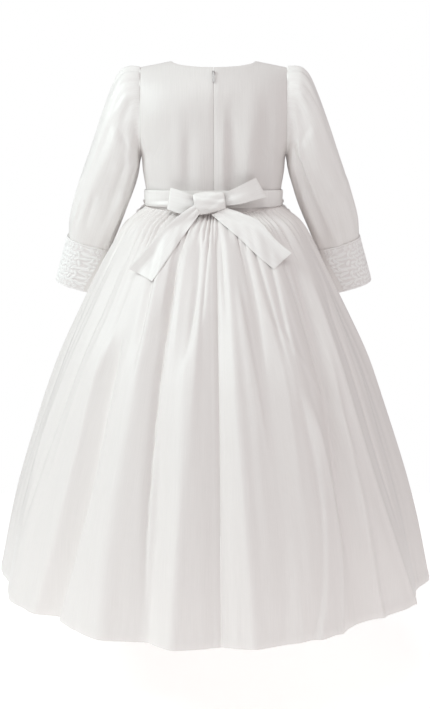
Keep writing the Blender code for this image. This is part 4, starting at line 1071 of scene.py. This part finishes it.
def lace_grid(side):
    across, down = lattice(LACE_COLUMNS, LACE_ROWS, -1)
    place = mix(CUFF_START, CUFF_END, down)
    turn = across * mix(LACE_TURN_TOP, LACE_TURN_END, smoothstep(down))
    u = across * 0.5 * LACE_FLAT[0] * mix(1.1, 0.95, down)
    relief = lace_pattern(u + 0.4 * LACE_FLAT[0], down * LACE_FLAT[1] + 0 * u)
    floor = CUFF_FULLNESS + LACE_CLEARANCE
    outer = sleeve_grid(turn, place, floor + LACE_NET + LACE_RELIEF * relief)
    inner = sleeve_grid(turn, place, floor + 0 * relief)
    return mirrored(outer, side), mirrored(inner, side), relief


def make_sleeves(satin, lace):
    for side, word in ((-1, "left"), (1, "right")):
        places = np.linspace(0, 1, SLEEVE_ROWS)
        sleeve = tube(f"sleeve_{word}_cloth", places, 0.0, side, satin, SLEEVE_FLAT, 0.9 * MM)
        settle(sleeve, f"sleeve_{word}")
        places = np.linspace(CUFF_START, CUFF_END, CUFF_ROWS)
        cuff = tube(f"cuff_{word}_cloth", places, CUFF_FULLNESS, side, satin, CUFF_FLAT, 0.25 * MM)
        settle(cuff, f"cuff_{word}")
        outer, inner, relief = lace_grid(side)
        applique = shell(f"cuff_lace_{word}_threads", outer, inner, False, lace, LACE_FLAT, relief)
        settle(applique, f"cuff_lace_{word}")


# Sash and bow

SASH_TOP = -252 * MM
SASH_ABOVE_SEAM = 0.6 * MM
SASH_BACK_DIP = 4.5 * MM
SASH_CLEARANCE = 2.6 * MM
RIBBON_WALL = 1.2 * MM
SASH_COLUMNS = 300
SASH_ROWS = 18
SASH_FLAT = (0.74, 0.034)


def worn_surface(turn, z, lift):
    """Points that stand lift outside the bodice near the waist."""
    behind = np.cos(np.radians(turn)) > 0
    deep = np.where(behind, curve(TORSO, "back_depth", z), curve(TORSO, "front_depth", z))
    radius = section_radius(turn, curve(TORSO, "half_width", z), deep, SQUARENESS) + lift
    return around(turn, radius, z)


def sash_grid(turn, up):
    foot = WAIST_SIDE + SASH_ABOVE_SEAM - SASH_BACK_DIP * np.maximum(0.0, np.cos(np.radians(turn))) ** 1.5
    z = mix(foot, SASH_TOP, up)
    signed = wrapped(turn)
    near_knot = bump(signed, 100)
    crease = (0.5 + 0.9 * near_knot) * MM * (0.5 + 0.5 * np.cos(2 * pi * (up + turn / 180)))
    pulled = (0.3 + 1.1 * near_knot) * MM * np.abs(np.sin(pi * (1.5 * up + signed / 70))) ** 1.5
    edge = -0.7 * MM * (1 - smoothstep(np.minimum(up, 1 - up) / 0.08))
    # The wrapped sash is slack at its foot: a rolled fold beside the bow, and a deeper one under its longer
    # loop
    rolled = 2.4 * bump(up - 0.16 - 0.10 * (signed + 48) / 30, 0.17) * bump(signed + 48, 26)
    rolled = rolled - 1.6 * bump(up - 0.40 - 0.10 * (signed + 48) / 30, 0.14) * bump(signed + 48, 26)
    slack = 2.6 * bump(up - 0.30 - 0.16 * (signed - 30) / 25, 0.15) - 2.4 * bump(up - 0.58, 0.16)
    edge = edge + (rolled + slack * bump(signed - 30, 24)) * MM
    return worn_surface(turn, z, SASH_CLEARANCE + RIBBON_WALL + crease + 0.6 * pulled + edge)


EdgeRow = namedtuple("EdgeRow", "place left_x left_z right_x right_z out")
TAIL_LEFT = table(
    EdgeRow,
    (0.00, -0.0375, -0.2790, -0.0255, -0.2935, 0.1140),
    (0.20, -0.0621, -0.2956, -0.0430, -0.3184, 0.1200),
    (0.45, -0.0920, -0.3220, -0.0674, -0.3514, 0.1340),
    (0.75, -0.1329, -0.3670, -0.0953, -0.3915, 0.1500),
    (1.00, -0.1619, -0.3982, -0.1161, -0.4200, 0.1560),
)
TAIL_RIGHT = table(
    EdgeRow,
    (0.00, -0.0040, -0.2980, 0.0262, -0.2850, 0.1080),
    (0.22, 0.0201, -0.3168, 0.0508, -0.2929, 0.1160),
    (0.50, 0.0516, -0.3433, 0.0884, -0.3101, 0.1280),
    (0.76, 0.0804, -0.3705, 0.1200, -0.3450, 0.1400),
    (1.00, 0.1148, -0.3990, 0.1493, -0.3688, 0.1480),
)
LOOP_LEFT = table(
    EdgeRow,
    (0.00, -0.0403, -0.2600, -0.0359, -0.2915, 0.1010),
    (0.30, -0.0520, -0.2560, -0.0530, -0.2949, 0.0985),
    (0.65, -0.0665, -0.2508, -0.0686, -0.2950, 0.0940),
    (1.00, -0.0831, -0.2464, -0.0900, -0.2875, 0.0880),
)
LOOP_RIGHT = table(
    EdgeRow,
    (0.00, 0.0205, -0.2560, 0.0241, -0.2805, 0.1010),
    (0.30, 0.0414, -0.2469, 0.0491, -0.2775, 0.1010),
    (0.65, 0.0626, -0.2364, 0.0762, -0.2709, 0.0970),
    (1.00, 0.0820, -0.2269, 0.1026, -0.2636, 0.0890),
)
RIBBON_ROWS = 70
RIBBON_COLUMNS = 34
LOOP_FULLNESS = 9 * MM
TAIL_CLEARANCE = 0.6 * MM
TAIL_REACH = 4.5 * MM
TAIL_SOFTENING = 16


def ribbon(rows, across, place):
    """A ribbon seen from the back: x, z and how far out its table puts it."""
    x = mix(curve(rows, "left_x", place), curve(rows, "right_x", place), across)
    z = mix(curve(rows, "left_z", place), curve(rows, "right_z", place), across)
    return x, z, curve(rows, "out", place)


def skirt_reach(x, z, carrier):
    """How far out the back of the skirt reaches within a few millimetres of each point seen from the back."""
    reach = np.zeros(x.shape)
    for r in range(x.shape[0]):
        away = np.hypot(x[r][:, None] - carrier[None, :, 0], z[r][:, None] - carrier[None, :, 2])
        reach[r] = np.max(np.where(away < TAIL_REACH, -carrier[None, :, 1], 0.0), axis=1)
    return reach


def softened(values, times):
    """Neighbours averaged, for cloth that bridges what it lies on."""
    for _ in range(times):
        wide = np.pad(values, 1, mode="edge")
        values = (wide[:-2, 1:-1] + wide[2:, 1:-1] + wide[1:-1, :-2] + wide[1:-1, 2:] + 2 * values) / 6
    return values


def make_tail(word, rows, satin, carrier, flat):
    """A loose end of the sash, lying over the top of the skirt."""
    across, place = lattice(RIBBON_COLUMNS, RIBBON_ROWS)
    x, z, out = ribbon(rows, across, place)
    carried = skirt_reach(x, z, carrier) + TAIL_CLEARANCE
    depth = softened(np.maximum(out + 0 * x, np.where(place > 0.03, carried, 0.0)), TAIL_SOFTENING)
    ripple = 0.4 * MM * (1 + np.sin(2 * pi * across * 0.7 + 2.6 * place)) * smoothstep(place / 0.4)
    pinch = 1.6 * MM * np.abs(np.sin(pi * (2.2 * across + 0.35 * place))) * (1 - smoothstep(place / 0.32))
    edge = -0.5 * MM * (1 - smoothstep(np.minimum(across, 1 - across) / 0.05))
    grid = points(x, -(depth + ripple + pinch + edge), z)
    core = points(0.0, 0.0, grid[..., 2])
    piece = cloth(f"bow_tail_{word}_ribbon", grid, core, satin, flat)
    settle(piece, f"bow_tail_{word}")


def make_loop(word, rows, satin, flat):
    """A bow loop: the ribbon goes out along the sash, folds over at its tip and comes back over itself."""
    across, trip = lattice(RIBBON_COLUMNS, 2 * RIBBON_ROWS)
    place = np.sin(pi * trip) ** 0.9
    x, z, out = ribbon(rows, across, place)
    over = smoothstep((trip - 0.36) / 0.28)
    puff = LOOP_FULLNESS * over * (0.60 + 0.40 * np.sin(pi * place))
    pinch = 1.5 * MM * np.cos(3 * pi * across) * (1 - place) ** 2 * smoothstep((trip - 0.5) / 0.3)
    grid = points(x, -(out + puff + pinch), z)
    middle_x, middle_z, middle_out = ribbon(rows, 0.5, 0.55)
    core = points(middle_x, -(middle_out + LOOP_FULLNESS * 0.4), middle_z)
    piece = cloth(f"bow_loop_{word}_ribbon", grid, core, satin, flat)
    settle(piece, f"bow_loop_{word}")


KNOT_CENTRE = np.array((-0.0075, -0.1050, -0.2750))
KNOT_HALF_WIDTH = 30.0 * MM
KNOT_HALF_HEIGHT = 19.5 * MM
KNOT_HALF_DEPTH = 12.0 * MM
KNOT_BACK_Y = -94.5 * MM
KNOT_TILT = 8
KNOT_FLAT = (0.105, 0.060)


def make_knot(satin):
    """The knot: the ribbon wrapped once round itself, crumpled along its wrap, and closed behind."""
    along = np.linspace(-1, 1, 90)[:, None]
    angle = np.linspace(0, 2 * pi, 120, endpoint=False)[None, :]
    swell = 0.75 + 0.25 * np.sqrt(np.maximum(0.0, 1 - along ** 4))
    front = smoothstep(0.5 - 0.5 * np.cos(angle))
    wraps = 0.10 * np.abs(np.sin(2.5 * angle + 2.2 * along + 0.5)) + 0.05 * np.sin(9 * angle - 3.0 * along)
    crease = 1 + 0.06 * np.cos(5 * angle + 2.5 * along) + wraps * front
    y = KNOT_HALF_DEPTH * swell * crease * np.cos(angle)
    z = KNOT_HALF_HEIGHT * swell * crease * np.sin(angle) * (1 - 0.12 * along)
    x = KNOT_HALF_WIDTH * along + 0 * angle
    tilt = radians(-KNOT_TILT)
    grid = points(x * np.cos(tilt) + z * np.sin(tilt), y, -x * np.sin(tilt) + z * np.cos(tilt)) + KNOT_CENTRE
    grid[..., 1] = np.minimum(grid[..., 1], KNOT_BACK_Y)
    core = np.broadcast_to(KNOT_CENTRE, grid.shape)
    piece = cloth("bow_knot_wrap", grid, core, satin, KNOT_FLAT, closed=True)
    settle(piece, "bow_knot")


def make_sash_and_bow(satin):
    turn = np.linspace(0, 360, SASH_COLUMNS, endpoint=False)[None, :]
    up = np.linspace(0, 1, SASH_ROWS)[:, None]
    grid = sash_grid(turn, up)
    core = points(0.0, 0.0, grid[..., 2])
    sash = cloth("sash_ribbon", grid, core, satin, SASH_FLAT, closed=True)
    settle(sash, "sash")
    # The top of the skirt's back, which the tails lie on
    carrier = skirt_grid(np.linspace(-65, 65, 260), np.linspace(0, 0.35, 90)).reshape(-1, 3)
    make_loop("left", LOOP_LEFT, satin, (0.034, 0.105))
    make_loop("right", LOOP_RIGHT, satin, (0.034, 0.170))
    make_tail("left", TAIL_LEFT, satin, carrier, (0.045, 0.190))
    make_tail("right", TAIL_RIGHT, satin, carrier, (0.045, 0.165))
    make_knot(satin)


# Zip

ZIP_TAPE_HALF_WIDTH = 9 * MM
ZIP_TAPE_DEPTH = 2.2 * MM
ZIP_TAPE_ENDS = 1 / 11
ZIP_TAPE_FLAT = (0.018, 0.25)


def make_zip(tape, metal):
    up = np.linspace(1 - ZIP_TAPE_ENDS, ZIP_TAPE_ENDS, 60)
    z = bodice_grid(np.array((0.0,)), up, False)[:, 0, 2][:, None]
    x = np.linspace(-1, 1, 13)[None, :] * ZIP_TAPE_HALF_WIDTH
    surface = points(x, -torso_depth(x, z, False, False), z)
    core = points(0.0, 0.0, surface[..., 2])
    grid = surface - normals_of(surface, core, False) * ZIP_TAPE_DEPTH
    piece = cloth("zip_tape_weave", grid, core, tape, ZIP_TAPE_FLAT)
    settle(piece, "zip_tape")
    for node in ("zip_slider", "zip_pull"):
        data = frame["nodes"][node].data
        data.materials.clear()
        data.materials.append(metal)


# Flower trim at the sides of the waist

FLOWERS_START = 94
FLOWERS_END = 112
FLOWERS_TOP = 12 * MM
FLOWERS_PLACE_END = 0.032
FLOWERS_ON_SASH = 0.35
FLOWERS_CLEARANCE = 1.0 * MM
FLOWERS_GROUND = 0.9 * MM
FLOWER_SPOTS = (
    (0.10, 0.14), (0.14, 0.50), (0.12, 0.86), (0.40, 0.30), (0.44, 0.72), (0.70, 0.50), (0.90, 0.22)
)
FLOWER_RADIUS = 0.17
FLOWER_HEIGHT = 3.4 * MM
TRIM_POINTS = 72
TRIM_FLAT = (0.050, 0.040)


def flower_relief(across, down):
    best = np.zeros(np.broadcast(across, down).shape)
    for spot_across, spot_down in FLOWER_SPOTS:
        dx, dy = across - spot_across, down - spot_down
        distance = np.hypot(dx, dy)
        reach = FLOWER_RADIUS * (1 + 0.16 * np.cos(5 * np.arctan2(dy, dx)))
        head = bump(distance, reach) ** 0.6 * (distance < reach)
        veins = 0.10 * np.cos(15 * np.arctan2(dy, dx)) * bump(distance - 0.6 * reach, 0.5 * reach)
        best = np.maximum(best, head - 0.35 * bump(distance, 0.06) + veins * (distance < reach))
    return np.maximum(best, 0.0)


def trim_grid(turn, down, lift):
    """The trim lies on the sash, and below it on the top of the skirt."""
    z = waist_z(turn) + mix(FLOWERS_TOP, SASH_ABOVE_SEAM, np.minimum(down / FLOWERS_ON_SASH, 1.0))
    upper = worn_surface(turn, z, SASH_CLEARANCE + RIBBON_WALL + FLOWERS_GROUND + lift)
    place = FLOWERS_PLACE_END * np.maximum(down - FLOWERS_ON_SASH, 0.0) / (1 - FLOWERS_ON_SASH)
    seat = skirt_grid(turn[0], place[:, 0])
    outward = normals_of(seat, points(0.0, 0.0, seat[..., 2] - 0.02), False)
    lower = seat + outward * (FLOWERS_CLEARANCE + lift)[..., None]
    return np.where((down < FLOWERS_ON_SASH)[..., None], upper, lower)


def make_flowers(lace):
    across, down = lattice(TRIM_POINTS, TRIM_POINTS)
    turn = mix(FLOWERS_START, FLOWERS_END, across)
    relief = flower_relief(across, down)
    outer = trim_grid(turn, down, FLOWERS_GROUND + FLOWER_HEIGHT * relief)
    inner = trim_grid(turn, down, 0 * relief)
    for side, word in ((-1, "left"), (1, "right")):
        piece = shell(
            f"waist_flowers_{word}_threads", mirrored(outer, side), mirrored(inner, side), False, lace,
            TRIM_FLAT, np.clip(relief, 0, 1),
        )
        settle(piece, f"waist_flowers_{word}")


def main():
    make_camera()
    make_lamps()
    make_room()
    make_floor()
    lace = lace_material()
    satin = satin_material("woven_polyester_satin", ("#EBE6E4", "#EFEAE8"))
    # A brighter copy of the satin, for the sleeves, cuffs, sash and bow: painted light.
    satin_painted_light = satin_material("polyester_satin_painted_light", ("#F1EDEB", "#F6F3F1"))
    # A darker copy of the satin, for the bodice: painted shade.
    satin_painted_shade = satin_material("polyester_satin_painted_shade", ("#E4DFDD", "#E9E4E2"))
    make_bodice(satin_painted_shade)
    make_skirt(satin)
    make_sleeves(satin_painted_light, lace)
    make_sash_and_bow(satin_painted_light)
    make_zip(tape_material(), metal_material())
    make_flowers(lace)


main()
